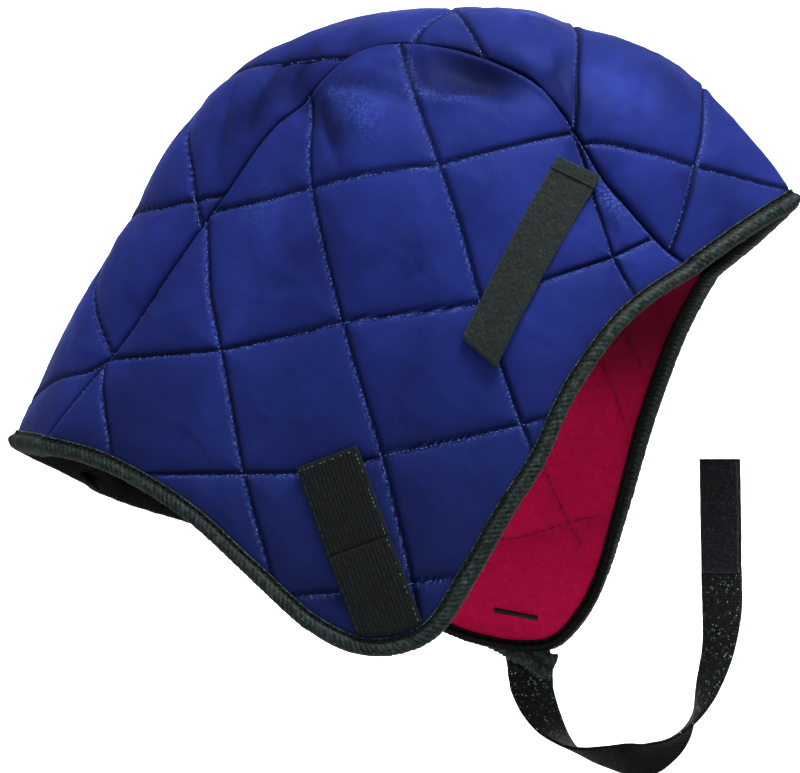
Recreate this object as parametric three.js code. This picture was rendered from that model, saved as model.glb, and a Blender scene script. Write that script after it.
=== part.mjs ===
// Winter helmet liner, in millimetres, +Z up.  +X is the face side, -Y the wearer's right.
// The origin is the inside top of the crown, where the liner sits on a head.
// Three panels make the cap: a centre band from forehead over the crown to the nape, and two side
// panels that run down into ear flaps.  Each panel is a padded outer cloth and a fleece lining.
import * as THREE from 'three';

// ---- driving dimensions ---------------------------------------------------------------------
const OUTER_THICK = 3.0;      // satin with its wadding
const LINING_THICK = 1.6;     // fleece
const GAP = 0.3;              // between neighbouring pieces
const SEAM_TRIM = 0.18;       // each panel stops this far from the seam line
const BINDING_DEPTH = 6.2;    // how far the rim tape reaches up each side
const BINDING_THICK = 0.9;
const BINDING_GAP = 0.45;
const CORNER_EXTRA = 0.6;
const STEPS_BETWEEN = 2;      // stations from one section to the next
const SIDE_ROWS = 8;          // rows from a seam down to the rim
const BAND_ROWS = 6;          // rows across the centre band
const TAB_WIDTH = 16, TAB_THICK = 1.2;
const PATCH_THICK = 1.2;
const PATCH_LIFT = 0.75;      // clear of the facets below
const STRAP_WIDTH = 16, STRAP_THICK = 1.3;
const HOOK_WIDTH = 15, HOOK_LENGTH = 38, HOOK_THICK = 1.0;

// ---- the sections, forehead to nape -----------------------------------------------------------
// ridge: middle of the band.  seam: where band and side panel meet, the same on both sides but for
// shiftX and shiftZ, how far the left seam is from the right one's mirror.  right and left: the rim.
// crease: angle of the fold along the middle of the band.
const SECTIONS = [
  { name: 'brow',   ridgeX: 135,  ridgeZ: -63,  seamX: 106,  seamY: 30, seamZ: -88,  shiftX:   -5, shiftZ:    3, rightX: 106,  rightY: 30, rightZ: -88,  leftX: 101,  leftY: 30, leftZ: -85,  crease: 34 },
  { name: 'brow2',  ridgeX: 129,  ridgeZ: -53.5,seamX: 96,   seamY: 35, seamZ: -79.5,shiftX:   -3, shiftZ:    2, rightX: 94,   rightY: 40, rightZ: -97,  leftX: 94,   leftY: 40, leftZ: -92,  crease: 29 },
  { name: 'brow3',  ridgeX: 117,  ridgeZ: -39.5,seamX: 86,   seamY: 39, seamZ: -68,  shiftX: -1.5, shiftZ:    1, rightX: 84,   rightY: 48, rightZ: -107, leftX: 88,   leftY: 47, leftZ: -105, crease: 20 },
  { name: 'fore',   ridgeX: 101,  ridgeZ: -21,  seamX: 76,   seamY: 42, seamZ: -55.5,shiftX:    0, shiftZ:    0, rightX: 76,   rightY: 54, rightZ: -119, leftX: 80.5, leftY: 52, leftZ: -120, crease: 12 },
  { name: 'fore2',  ridgeX: 82,   ridgeZ: -9.5, seamX: 70,   seamY: 43, seamZ: -45,  shiftX:    0, shiftZ:    0, rightX: 68,   rightY: 58, rightZ: -133, leftX: 75,   leftY: 56, leftZ: -135, crease: 6 },
  { name: 'top1',   ridgeX: 65,   ridgeZ: -3.5, seamX: 64,   seamY: 44, seamZ: -35,  shiftX:    0, shiftZ:    0, rightX: 60.5, rightY: 61, rightZ: -151, leftX: 69,   leftY: 59, leftZ: -152, crease: 0 },
  { name: 'top2',   ridgeX: 47,   ridgeZ: 2.5,  seamX: 54,   seamY: 44, seamZ: -23,  shiftX:    0, shiftZ:    0, rightX: 49,   rightY: 62, rightZ: -169, leftX: 63.5, leftY: 60, leftZ: -168, crease: 0 },
  { name: 'crown',  ridgeX: 26,   ridgeZ: 5.5,  seamX: 35,   seamY: 43, seamZ: -14,  shiftX:    0, shiftZ:    0, rightX: 37,   rightY: 61, rightZ: -189, leftX: 58,   leftY: 60, leftZ: -184, crease: 0 },
  { name: 'top3',   ridgeX: 4,    ridgeZ: 5.5,  seamX: 14,   seamY: 42, seamZ: -10,  shiftX:    0, shiftZ:    0, rightX: 23.5, rightY: 60, rightZ: -207, leftX: 50,   leftY: 58, leftZ: -201, crease: 0 },
  { name: 'top4',   ridgeX: -16,  ridgeZ: 3,    seamX: -4,   seamY: 42, seamZ: -12,  shiftX:    0, shiftZ:    0, rightX: 3,    rightY: 60, rightZ: -212, leftX: 38,   leftY: 57, leftZ: -212, crease: 0 },
  { name: 'rear1',  ridgeX: -38,  ridgeZ: -3.5, seamX: -21,  seamY: 42, seamZ: -24,  shiftX:    0, shiftZ:    0, rightX: -16.5,rightY: 61, rightZ: -203.5, leftX: 11,   leftY: 58, leftZ: -209, crease: 0 },
  { name: 'rear2',  ridgeX: -58,  ridgeZ: -13.5,seamX: -36,  seamY: 42, seamZ: -39,  shiftX:    0, shiftZ:    0, rightX: -37.5,rightY: 61, rightZ: -187.5, leftX: -22,  leftY: 60, leftZ: -194, crease: 0 },
  { name: 'rear3',  ridgeX: -77,  ridgeZ: -33.5,seamX: -50,  seamY: 42, seamZ: -57.5,shiftX:    0, shiftZ: -0.5, rightX: -58.5,rightY: 58, rightZ: -169.5, leftX: -58,  leftY: 59, leftZ: -180, crease: 4 },
  { name: 'rear4',  ridgeX: -95,  ridgeZ: -62,  seamX: -68,  seamY: 41, seamZ: -81,  shiftX: -0.5, shiftZ: -1.5, rightX: -76.5,rightY: 53, rightZ: -159, leftX: -88,  leftY: 53, leftZ: -167, crease: 8 },
  { name: 'nape3',  ridgeX: -112, ridgeZ: -89,  seamX: -87,  seamY: 39, seamZ: -106, shiftX:   -1, shiftZ:   -3, rightX: -93,  rightY: 46, rightZ: -153, leftX: -106, leftY: 46, leftZ: -160, crease: 12 },
  { name: 'nape2',  ridgeX: -127, ridgeZ: -115, seamX: -105, seamY: 36, seamZ: -126.5,shiftX: -1.5, shiftZ:   -5, rightX: -107, rightY: 40, rightZ: -150, leftX: -117, leftY: 40, leftZ: -156, crease: 18 },
  { name: 'nape',   ridgeX: -140, ridgeZ: -141, seamX: -120, seamY: 33, seamZ: -147, shiftX:   -2, shiftZ:   -6, rightX: -120, rightY: 33, rightZ: -147, leftX: -122, leftY: 33, leftZ: -153, crease: 22 },
];

// Dents and swells of the cloth, one side each, seen square to the side: centre, half lengths of
// the ellipse, its tilt, and how far the cloth moves out (in, where negative).
const DENTS = [
  { side: 'right', x: 38,  z: -26,  along: 20, across: 8,  tilt: 10,  out: -3.0 },
  { side: 'right', x: -3,  z: -33,  along: 9,  across: 11, tilt: 0,   out: 2.2 },
  { side: 'right', x: -26, z: -30,  along: 7,  across: 14, tilt: 35,  out: -1.8 },
  { side: 'right', x: 79,  z: -60,  along: 5,  across: 11, tilt: -25, out: -1.6 },
  { side: 'right', x: -75, z: -120, along: 20, across: 22, tilt: 0,   out: -1.6 },
  { side: 'left',  x: 30,  z: -40,  along: 22, across: 10, tilt: -8,  out: -2.4 },
  { side: 'left',  x: -45, z: -105, along: 20, across: 24, tilt: 15,  out: -2.0 },
  { side: 'left',  x: 52,  z: -178, along: 9,  across: 24, tilt: 20,  out: -1.5 },
];

// The chin strap, from the stitch line on the left ear flap to its free end.  x, y, z: middle of
// the webbing.  twist: its turn about its own length, 0 where the inner face looks to the right
// side of the head.
const STRAP_FACE = new THREE.Vector3(0.225, -0.974, 0);
const STRAP = [
  { x: 32.5,  y: 62.0, z: -227.0, twist: -24 },
  { x: 37.5,  y: 60.5, z: -237.5, twist: -47 },
  { x: 43.5,  y: 58.0, z: -244.5, twist: -73 },
  { x: 49.5,  y: 55.0, z: -248.0, twist: -92 },
  { x: 58.5,  y: 51.0, z: -250.0, twist: -114 },
  { x: 74.0,  y: 44.0, z: -250.0, twist: -145 },
  { x: 87.0,  y: 38.0, z: -244.0, twist: -123 },
  { x: 95.5,  y: 33.0, z: -235.0, twist: -90 },
  { x: 100.0, y: 30.0, z: -226.0, twist: -66 },
  { x: 103.3, y: 27.5, z: -212.5, twist: -50 },
  { x: 105.2, y: 25.5, z: -198.0, twist: -38 },
  { x: 105.2, y: 25.0, z: -189.5, twist: -36 },
];
const STRAP_END = { run: 42 };   // the last straight stretch, which carries the hook tape

// Tape sewn on the outside, seen square to the side: the two ends of its middle line.
const RIGHT_TAB = { topX: 70, topZ: -54.5, endX: 42, endZ: -114.5, side: -1 };
const LEFT_TAB = { topX: 70, topZ: -54.5, endX: 42, endZ: -114.5, side: 1 };
const FLAP_PATCH = { topX: -10, topZ: -149, midX: 0, midZ: -178, endX: 7.8, endZ: -199.8, width: 22, wide: 22 };

// ---- small vector help ----------------------------------------------------------------------
const V = (x, y, z) => new THREE.Vector3(x, y, z);
const rad = (d) => d * Math.PI / 180;
const mix = (a, b, t) => a.clone().lerp(b, t);

// A smooth curve through the rows of a table, for one column, t in rows.
function column(rows, key, t) {
  const n = rows.length - 1;
  const i = Math.min(Math.floor(t), n - 1);
  const f = t - i;
  const at = (k) => rows[Math.max(0, Math.min(n, k))][key];
  const p0 = i > 0 ? at(i - 1) : 2 * at(0) - at(1);
  const p3 = i + 2 <= n ? at(i + 2) : 2 * at(n) - at(n - 1);
  const p1 = at(i), p2 = at(i + 1);
  const m1 = (p2 - p0) / 2, m2 = (p3 - p1) / 2;
  const f2 = f * f, f3 = f2 * f;
  return (2 * f3 - 3 * f2 + 1) * p1 + (f3 - 2 * f2 + f) * m1 + (-2 * f3 + 3 * f2) * p2 + (f3 - f2) * m2;
}

function bezier(a, b, c, d, t) {
  const s = 1 - t;
  return a.clone().multiplyScalar(s * s * s).addScaledVector(b, 3 * s * s * t)
    .addScaledVector(c, 3 * s * t * t).addScaledVector(d, t * t * t);
}

// ---- the cap's outer surface --------------------------------------------------------------------
// station u in rows of SECTIONS, side -1 for the right and +1 for the left.
function station(u, side) {
  const c = (k) => column(SECTIONS, k, u);
  const shift = side > 0 ? 1 : 0;
  const ridge = V(c('ridgeX'), 0, c('ridgeZ'));
  const seam = V(c('seamX') + shift * c('shiftX'), side * c('seamY'), c('seamZ') + shift * c('shiftZ'));
  const rim = side < 0 ? V(c('rightX'), -c('rightY'), c('rightZ')) : V(c('leftX'), c('leftY'), c('leftZ'));
  const fall = V(seam.x - ridge.x, 0, seam.z - ridge.z);
  const chord = Math.atan2(fall.length(), Math.abs(seam.y));
  const crease = rad(c('crease'));
  return { ridge, seam, rim, fall: fall.normalize(), crease, turn: Math.min(2 * chord - crease, rad(86)) };
}

// across the band: w 0 at the ridge, 1 at the seam
function bandPoint(u, side, w) {
  const s = station(u, side);
  const out = V(0, side, 0);
  const len = s.ridge.distanceTo(s.seam);
  const b = s.ridge.clone().addScaledVector(out, Math.cos(s.crease) * len * 0.36).addScaledVector(s.fall, Math.sin(s.crease) * len * 0.36);
  const c = s.seam.clone().addScaledVector(out, -Math.cos(s.turn) * len * 0.36).addScaledVector(s.fall, -Math.sin(s.turn) * len * 0.36);
  return bezier(s.ridge, b, c, s.seam, w);
}

// down a side panel: v 0 at the seam, 1 at the rim
function sidePoint(u, side, v) {
  const s = station(u, side);
  const down = V(s.rim.x - s.seam.x, 0, s.rim.z - s.seam.z);
  const len = s.seam.distanceTo(s.rim);
  if (len < 1e-6) return s.seam.clone();
  down.normalize();
  const out = V(0, side, 0);
  const b = s.seam.clone().addScaledVector(out, Math.cos(s.turn) * len * 0.30).addScaledVector(down, Math.sin(s.turn) * len * 0.30);
  const lean = rad(96);
  const c = s.rim.clone().addScaledVector(out, -Math.cos(lean) * len * 0.33).addScaledVector(down, -Math.sin(lean) * len * 0.33);
  return bezier(s.seam, b, c, s.rim, v);
}

function dentAt(p) {
  let out = 0;
  for (const d of DENTS) {
    if ((d.side === 'right') !== (p.y < 0)) continue;
    const a = rad(d.tilt), dx = p.x - d.x, dz = p.z - d.z;
    const l = (dx * Math.cos(a) + dz * Math.sin(a)) / d.along;
    const m = (-dx * Math.sin(a) + dz * Math.cos(a)) / d.across;
    out += d.out * Math.exp(-(l * l + m * m)) * Math.min(1, Math.abs(p.y) / 20);
  }
  return out;
}

// One grid over the whole cap: rows 0..SIDE_ROWS right side rim to seam, then the band, then the left.
const STATIONS = (SECTIONS.length - 1) * STEPS_BETWEEN;
const ROWS = 2 * SIDE_ROWS + BAND_ROWS;
function capPoint(i, j) {
  const u = i / STEPS_BETWEEN;
  if (j <= SIDE_ROWS) return sidePoint(u, -1, 1 - j / SIDE_ROWS);
  if (j >= SIDE_ROWS + BAND_ROWS) return sidePoint(u, 1, (j - SIDE_ROWS - BAND_ROWS) / SIDE_ROWS);
  const w = (j - SIDE_ROWS) / BAND_ROWS * 2 - 1;
  return bandPoint(u, w < 0 ? -1 : 1, Math.abs(w));
}
const cap = [], normal = [];
for (let i = 0; i <= STATIONS; i++) cap.push(Array.from({ length: ROWS + 1 }, (_, j) => capPoint(i, j)));
function gridNormal(i, j) {
  const a = cap[Math.min(i + 1, STATIONS)][j], b = cap[Math.max(i - 1, 0)][j];
  const c = cap[i][Math.min(j + 1, ROWS)], d = cap[i][Math.max(j - 1, 0)];
  return a.clone().sub(b).cross(c.clone().sub(d));
}
for (let i = 0; i <= STATIONS; i++) {
  normal.push([]);
  for (let j = 0; j <= ROWS; j++) {
    let n = gridNormal(i, j);
    // at the pointed corners of the side panels the rows shrink to nothing: use the band's edge
    if (i === 0 || i === STATIONS) {
      if (j <= SIDE_ROWS) n = gridNormal(i, SIDE_ROWS + 1);
      if (j >= SIDE_ROWS + BAND_ROWS) n = gridNormal(i, SIDE_ROWS + BAND_ROWS - 1);
    }
    normal[i].push(n.normalize());
  }
}
// the normals point away from the head
const middle = V(0, 0, -90);
const flip = normal[16][11].dot(cap[16][11].clone().sub(middle)) < 0 ? -1 : 1;
for (const row of normal) for (const n of row) n.multiplyScalar(flip);
for (let i = 0; i <= STATIONS; i++) for (let j = 0; j <= ROWS; j++) {
  cap[i][j].addScaledVector(normal[i][j], dentAt(cap[i][j]));
}

// ---- solids ---------------------------------------------------------------------------------
// A closed slab between two grids of points of the same size.
class Solid {
  constructor() { this.points = []; this.index = new Map(); this.faces = []; }
  vertex(p) {
    const k = [p.x, p.y, p.z].map((c) => Math.round(c * 2000)).join(',');
    if (!this.index.has(k)) { this.index.set(k, this.points.length); this.points.push(p.clone()); }
    return this.index.get(k);
  }
  tri(a, b, c) {
    if (a !== b && b !== c && a !== c) this.faces.push([a, b, c]);
  }
  quad(a, b, c, d) {
    const [i, j, k, l] = [a, b, c, d].map((p) => this.vertex(p));
    this.tri(i, j, k); this.tri(i, k, l);
  }
  geometry() {
    let volume = 0;
    for (const [a, b, c] of this.faces) volume += this.points[a].dot(this.points[b].clone().cross(this.points[c]));
    const g = new THREE.BufferGeometry();
    const data = new Float32Array(this.points.length * 3);
    this.points.forEach((p, i) => { data[3 * i] = p.x; data[3 * i + 1] = p.y; data[3 * i + 2] = p.z; });
    g.setAttribute('position', new THREE.BufferAttribute(data, 3));
    g.setIndex(this.faces.flatMap(([a, b, c]) => volume > 0 ? [a, b, c] : [a, c, b]));
    g.computeVertexNormals();
    return g;
  }
}
function slab(top, under) {
  const s = new Solid();
  const m = top.length - 1, n = top[0].length - 1;
  for (let i = 0; i < m; i++) for (let j = 0; j < n; j++) {
    s.quad(top[i][j], top[i + 1][j], top[i + 1][j + 1], top[i][j + 1]);
    s.quad(under[i][j], under[i][j + 1], under[i + 1][j + 1], under[i + 1][j]);
  }
  for (let i = 0; i < m; i++) {
    s.quad(top[i][0], under[i][0], under[i + 1][0], top[i + 1][0]);
    s.quad(top[i][n], top[i + 1][n], under[i + 1][n], under[i][n]);
  }
  for (let j = 0; j < n; j++) {
    s.quad(top[0][j], top[0][j + 1], under[0][j + 1], under[0][j]);
    s.quad(top[m][j], under[m][j], under[m][j + 1], top[m][j + 1]);
  }
  return s.geometry();
}

// A panel is rows first..last of the cap, pulled back from the seam lines it ends on.
function panel(first, last, depthOut, depthIn) {
  const pulled = (i, j, depth) => {
    const p = cap[i][j].clone();
    const corner = (i === 0 || i === STATIONS) && (last <= SIDE_ROWS || first >= SIDE_ROWS + BAND_ROWS);
    if (corner) {
      const k = i === 0 ? 1 : STATIONS - 1;
      const to = cap[k][Math.round((first + last) / 2)].clone().sub(p).normalize();
      p.addScaledVector(to, 4 * SEAM_TRIM);
    } else {
      const seamAtFirst = first > 0 && j === first, seamAtLast = last < ROWS && j === last;
      if (seamAtFirst) p.addScaledVector(cap[i][j + 1].clone().sub(p).normalize(), SEAM_TRIM);
      if (seamAtLast) p.addScaledVector(cap[i][j - 1].clone().sub(p).normalize(), SEAM_TRIM);
    }
    return p.addScaledVector(normal[i][j], -depth);
  };
  const grid = (depth) => Array.from({ length: STATIONS + 1 }, (_, i) =>
    Array.from({ length: last - first + 1 }, (_, k) => pulled(i, first + k, depth)));
  return slab(grid(depthOut), grid(depthIn));
}

// ---- rim binding: a folded tape along the whole edge ---------------------------------------------
const WALL = OUTER_THICK + GAP + LINING_THICK;
function rimStations() {
  const list = [];
  const last = ROWS, a = SIDE_ROWS, b = SIDE_ROWS + BAND_ROWS;
  const rowAt = (i, from, step, count) => Array.from({ length: count + 1 }, (_, k) => [i, from + step * k]);
  const colAt = (j, from, step, count) => Array.from({ length: count + 1 }, (_, k) => [from + step * k, j]);
  for (let i = 1; i < STATIONS; i++) list.push(rowAt(i, 0, 1, SIDE_ROWS));
  for (let j = a; j <= b; j++) list.push(colAt(j, STATIONS, -1, 4));
  for (let i = STATIONS - 1; i > 0; i--) list.push(rowAt(i, last, -1, SIDE_ROWS));
  for (let j = b; j >= a; j--) list.push(colAt(j, 0, 1, 4));
  return list;
}
// the point at a distance from the rim along one of those lines, at a depth under the outer face
function inFromRim(line, distance, depth) {
  let left = distance;
  for (let k = 0; k + 1 < line.length; k++) {
    const [i, j] = line[k], [m, n] = line[k + 1];
    const p = cap[i][j].clone().addScaledVector(normal[i][j], -depth);
    const q = cap[m][n].clone().addScaledVector(normal[m][n], -depth);
    const len = p.distanceTo(q);
    if (left <= len) return mix(p, q, left / len);
    left -= len;
  }
  const [i, j] = line[line.length - 1];
  return cap[i][j].clone().addScaledVector(normal[i][j], -depth);
}
function bindingSolid() {
  const lines = rimStations();
  const count = lines.length;
  const corners = lines.flatMap((line, k) => {
    const [i, j] = line[0];
    return (i === 0 || i === STATIONS) && (j === SIDE_ROWS || j === SIDE_ROWS + BAND_ROWS) ? [k] : [];
  });
  const rings = lines.map((line, k) => {
    const [i, j] = line[0];
    const rimPoint = cap[i][j];
    const before = lines[(k + count - 1) % count][0], after = lines[(k + 1) % count][0];
    const along = cap[after[0]][after[1]].clone().sub(cap[before[0]][before[1]]).normalize();
    const n = normal[i][j];
    const inward = inFromRim(line, 2, 0).sub(rimPoint).normalize();
    const reach = BINDING_DEPTH / Math.max(0.6, inward.clone().cross(along).length());
    const off = inward.clone().addScaledVector(along, -inward.dot(along)).normalize();
    const at = (distance, depth, lift) => inFromRim(line, distance, depth).addScaledVector(n, lift);
    const edge = (depth, lift, past) => rimPoint.clone().addScaledVector(n, -depth + lift).addScaledVector(off, -past);
    // the tape stands a little further off at the four corners, where the panels come to a point
    const cornerDistance = Math.min(...corners.map((c) => Math.min(Math.abs(k - c), count - Math.abs(k - c))));
    const t = BINDING_THICK, g = BINDING_GAP + CORNER_EXTRA * Math.max(0, 1 - Math.max(0, cornerDistance - 1) / 3);
    return [
      at(reach, 0, g + t), edge(0, g + t * 0.6, g + t * 0.6), edge(WALL / 2, 0, g + t * 1.2), edge(WALL, -(g + t * 0.6), g + t * 0.6), at(reach, WALL, -(g + t)),
      at(reach, WALL, -g), edge(WALL, -g, g), edge(0, g, g), at(reach, 0, g),
    ];
  });
  const s = new Solid();
  const m = rings[0].length;
  for (let k = 0; k < count; k++) for (let e = 0; e < m; e++) {
    const a = rings[k], b = rings[(k + 1) % count];
    s.quad(a[e], b[e], b[(e + 1) % m], a[(e + 1) % m]);
  }
  return s.geometry();
}

// ---- tape and patches lying on a side panel --------------------------------------------------------
// The cap's surface point and normal at a place seen square to the side.
function onSide(side, x, z) {
  let u = 8, v = 0.5;
  for (let pass = 0; pass < 60; pass++) {
    const p = sidePoint(u, side, v), h = 1e-3;
    const pu = sidePoint(u + h, side, v).sub(p).divideScalar(h), pv = sidePoint(u, side, v + h).sub(p).divideScalar(h);
    const ex = x - p.x, ez = z - p.z;
    const det = pu.x * pv.z - pu.z * pv.x;
    const du = (ex * pv.z - ez * pv.x) / det, dv = (pu.x * ez - pu.z * ex) / det;
    const cut = Math.min(1, 1.5 / Math.max(Math.abs(du), 4 * Math.abs(dv), 1e-9));
    u = Math.min(SECTIONS.length - 1.01, Math.max(0.01, u + du * cut));
    v = Math.min(1.1, Math.max(-0.1, v + dv * cut));
  }
  const h = 1e-2;
  const p = sidePoint(u, side, v);
  const n = sidePoint(u + h, side, v).sub(p).cross(sidePoint(u, side, v + h).sub(p)).normalize();
  if (n.y * side < 0) n.negate();
  return { p: p.addScaledVector(n, dentAt(p)), n };
}
// A strip from one end to another of its middle line, of a width, lifted off the cloth.
function strip(side, x0, z0, x1, z1, width0, width1, thick, steps, across, lift) {
  const along = V(x1 - x0, 0, z1 - z0).normalize();
  const sideways = V(-along.z, 0, along.x);
  const top = [], under = [];
  for (let i = 0; i <= steps; i++) {
    const t = i / steps, w = width0 + (width1 - width0) * t;
    const topRow = [], underRow = [];
    for (let j = 0; j <= across; j++) {
      const s = (j / across - 0.5) * w;
      const { p, n } = onSide(side, x0 + (x1 - x0) * t + sideways.x * s, z0 + (z1 - z0) * t + sideways.z * s);
      underRow.push(p.clone().addScaledVector(n, lift(t)));
      topRow.push(p.clone().addScaledVector(n, lift(t) + thick));
    }
    top.push(topRow); under.push(underRow);
  }
  return slab(top, under);
}
const tabLift = (t) => PATCH_LIFT + 1.6 * Math.max(0, t - 0.35) ** 2 * 2.4;
const tab = (T) => strip(T.side, T.topX, T.topZ, T.endX, T.endZ, TAB_WIDTH, TAB_WIDTH, TAB_THICK, 8, 2, tabLift);
function flapPatch(x0, z0, x1, z1, w0, w1) {
  return strip(-1, x0, z0, x1, z1, w0, w1, PATCH_THICK, 4, 3, () => PATCH_LIFT);
}

// ---- chin strap -------------------------------------------------------------------------------
// It is sewn flat on the outside of the left ear flap, passes over the binding and hangs free.
function strapRoute() {
  const points = [];
  const sewn = { x: 27.5, z: -199, stepX: 1.3, stepZ: -5.5 };
  for (const k of [0, 1, 2]) {
    const at = onSide(1, sewn.x + k * sewn.stepX, sewn.z + k * sewn.stepZ);
    points.push({ p: at.p.addScaledVector(at.n, BINDING_GAP + BINDING_THICK + 1.5), twist: 14 });
  }
  const hem = points[points.length - 1].p;
  points.push({ p: V(hem.x + 1.2, hem.y + 0.9, hem.z - 6.5), twist: 8 });
  for (const s of STRAP) points.push({ p: V(s.x, s.y, s.z), twist: s.twist });
  return points;
}
function strapFrames() {
  const pts = strapRoute();
  const curve = new THREE.CatmullRomCurve3(pts.map((s) => s.p), false, 'centripetal');
  const per = 3, frames = [];
  const steps = (pts.length - 1) * per;
  for (let k = 0; k <= steps; k++) {
    const t = k / steps, i = Math.min(Math.floor(k / per), pts.length - 2), f = k / per - i;
    const tangent = curve.getTangent(t).normalize();
    const twist = rad(pts[i].twist + (pts[i + 1].twist - pts[i].twist) * f);
    const side = STRAP_FACE.clone().cross(tangent).normalize();
    const face = tangent.clone().cross(side).normalize();
    const across = side.clone().multiplyScalar(Math.cos(twist)).addScaledVector(face, Math.sin(twist));
    frames.push({ p: curve.getPoint(t), across, tangent, face: tangent.clone().cross(across).normalize() });
  }
  // the straight end
  const last = frames[frames.length - 1];
  for (let k = 1; k <= 3; k++) frames.push({ ...last, p: last.p.clone().addScaledVector(last.tangent, STRAP_END.run * k / 3) });
  return frames;
}
const strapLine = strapFrames();
function strapSolid() {
  const top = [], under = [];
  for (const f of strapLine) {
    const row = [-1, 1].map((s) => f.p.clone().addScaledVector(f.across, s * STRAP_WIDTH / 2));
    top.push(row.map((p) => p.clone().addScaledVector(f.face, STRAP_THICK / 2)));
    under.push(row.map((p) => p.clone().addScaledVector(f.face, -STRAP_THICK / 2)));
  }
  return slab(top, under);
}
function hookSolid() {
  const end = strapLine[strapLine.length - 1];
  const top = [], under = [];
  for (const back of [HOOK_LENGTH + 0.8, 0.8]) {
    const row = [-1, 1].map((s) => end.p.clone().addScaledVector(end.tangent, -back).addScaledVector(end.across, s * HOOK_WIDTH / 2));
    under.push(row.map((p) => p.clone().addScaledVector(end.face, STRAP_THICK / 2 + GAP)));
    top.push(row.map((p) => p.clone().addScaledVector(end.face, STRAP_THICK / 2 + GAP + HOOK_THICK)));
  }
  return slab(top, under);
}

// ---- the assembly -----------------------------------------------------------------------------
const satin = new THREE.MeshStandardMaterial({ color: 0x27338a, roughness: 0.42, metalness: 0 });
const fleece = new THREE.MeshStandardMaterial({ color: 0xa51638, roughness: 0.95, metalness: 0 });
const ribbed = new THREE.MeshStandardMaterial({ color: 0x1a2020, roughness: 0.75, metalness: 0 });
const loopTape = new THREE.MeshStandardMaterial({ color: 0x3a443e, roughness: 0.9, metalness: 0 });
const blackTape = new THREE.MeshStandardMaterial({ color: 0x121818, roughness: 0.85, metalness: 0 });
const webbing = new THREE.MeshStandardMaterial({ color: 0x161c1a, roughness: 0.8, metalness: 0 });
const hooks = new THREE.MeshStandardMaterial({ color: 0x0c1012, roughness: 0.3, metalness: 0 });

const liner = new THREE.Group();
function piece(name, geometry, material) {
  const mesh = new THREE.Mesh(geometry, material);
  mesh.name = name;
  liner.add(mesh);
}
const A = SIDE_ROWS, B = SIDE_ROWS + BAND_ROWS;
const liningTop = OUTER_THICK + GAP;
piece('band_shell', panel(A, B, 0, OUTER_THICK), satin);
piece('right_shell', panel(0, A, 0, OUTER_THICK), satin);
piece('left_shell', panel(B, ROWS, 0, OUTER_THICK), satin);
piece('band_lining', panel(A, B, liningTop, liningTop + LINING_THICK), fleece);
piece('right_lining', panel(0, A, liningTop, liningTop + LINING_THICK), fleece);
piece('left_lining', panel(B, ROWS, liningTop, liningTop + LINING_THICK), fleece);
piece('rim_binding', bindingSolid(), ribbed);
piece('right_temple_tab', tab(RIGHT_TAB), loopTape);
piece('left_temple_tab', tab(LEFT_TAB), loopTape);
const P = FLAP_PATCH;
const joint = 0.25;
piece('right_flap_patch_upper', flapPatch(P.topX, P.topZ, P.midX - joint * 0.45, P.midZ + joint * 0.9, P.width, P.width), blackTape);
piece('right_flap_patch_lower', flapPatch(P.midX + joint * 0.45, P.midZ - joint * 0.9, P.endX, P.endZ, P.width, P.wide), blackTape);
piece('chin_strap', strapSolid(), webbing);
piece('chin_strap_hook_patch', hookSolid(), hooks);

export default liner;
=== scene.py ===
import math
import bpy
import numpy as np
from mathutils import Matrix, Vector
from mathutils.kdtree import KDTree


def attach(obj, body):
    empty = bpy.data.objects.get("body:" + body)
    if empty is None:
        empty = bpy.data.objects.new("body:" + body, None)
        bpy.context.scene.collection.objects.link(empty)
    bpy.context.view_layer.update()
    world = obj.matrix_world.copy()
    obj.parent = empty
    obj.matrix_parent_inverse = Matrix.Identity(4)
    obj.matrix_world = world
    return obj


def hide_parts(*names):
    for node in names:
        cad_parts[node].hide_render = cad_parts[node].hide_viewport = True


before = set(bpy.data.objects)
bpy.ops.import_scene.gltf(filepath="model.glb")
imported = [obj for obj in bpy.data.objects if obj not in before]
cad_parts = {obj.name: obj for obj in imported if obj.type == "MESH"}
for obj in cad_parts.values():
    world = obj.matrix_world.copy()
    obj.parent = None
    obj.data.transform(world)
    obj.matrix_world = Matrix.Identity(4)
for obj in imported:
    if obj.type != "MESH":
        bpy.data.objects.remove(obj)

MM = 0.001

# ---------------------------------------------------------------------------------------------
# camera
# ---------------------------------------------------------------------------------------------
scene = bpy.context.scene
scene.view_settings.view_transform = "Standard"
scene.view_settings.look = "None"
lens = bpy.data.cameras.new("camera")
lens.lens, lens.sensor_width = 198.53, 36.0
lens.clip_start, lens.clip_end = 0.05, 60.0
camera = bpy.data.objects.new("camera", lens)
scene.collection.objects.link(camera)
camera.location = (0.335913, -1.459552, -0.201395)
camera.rotation_mode = "QUATERNION"
camera.rotation_quaternion = (Vector((-0.001051, 0, -0.122891)) - camera.location).to_track_quat("-Z", "Y")
scene.camera = camera

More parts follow.
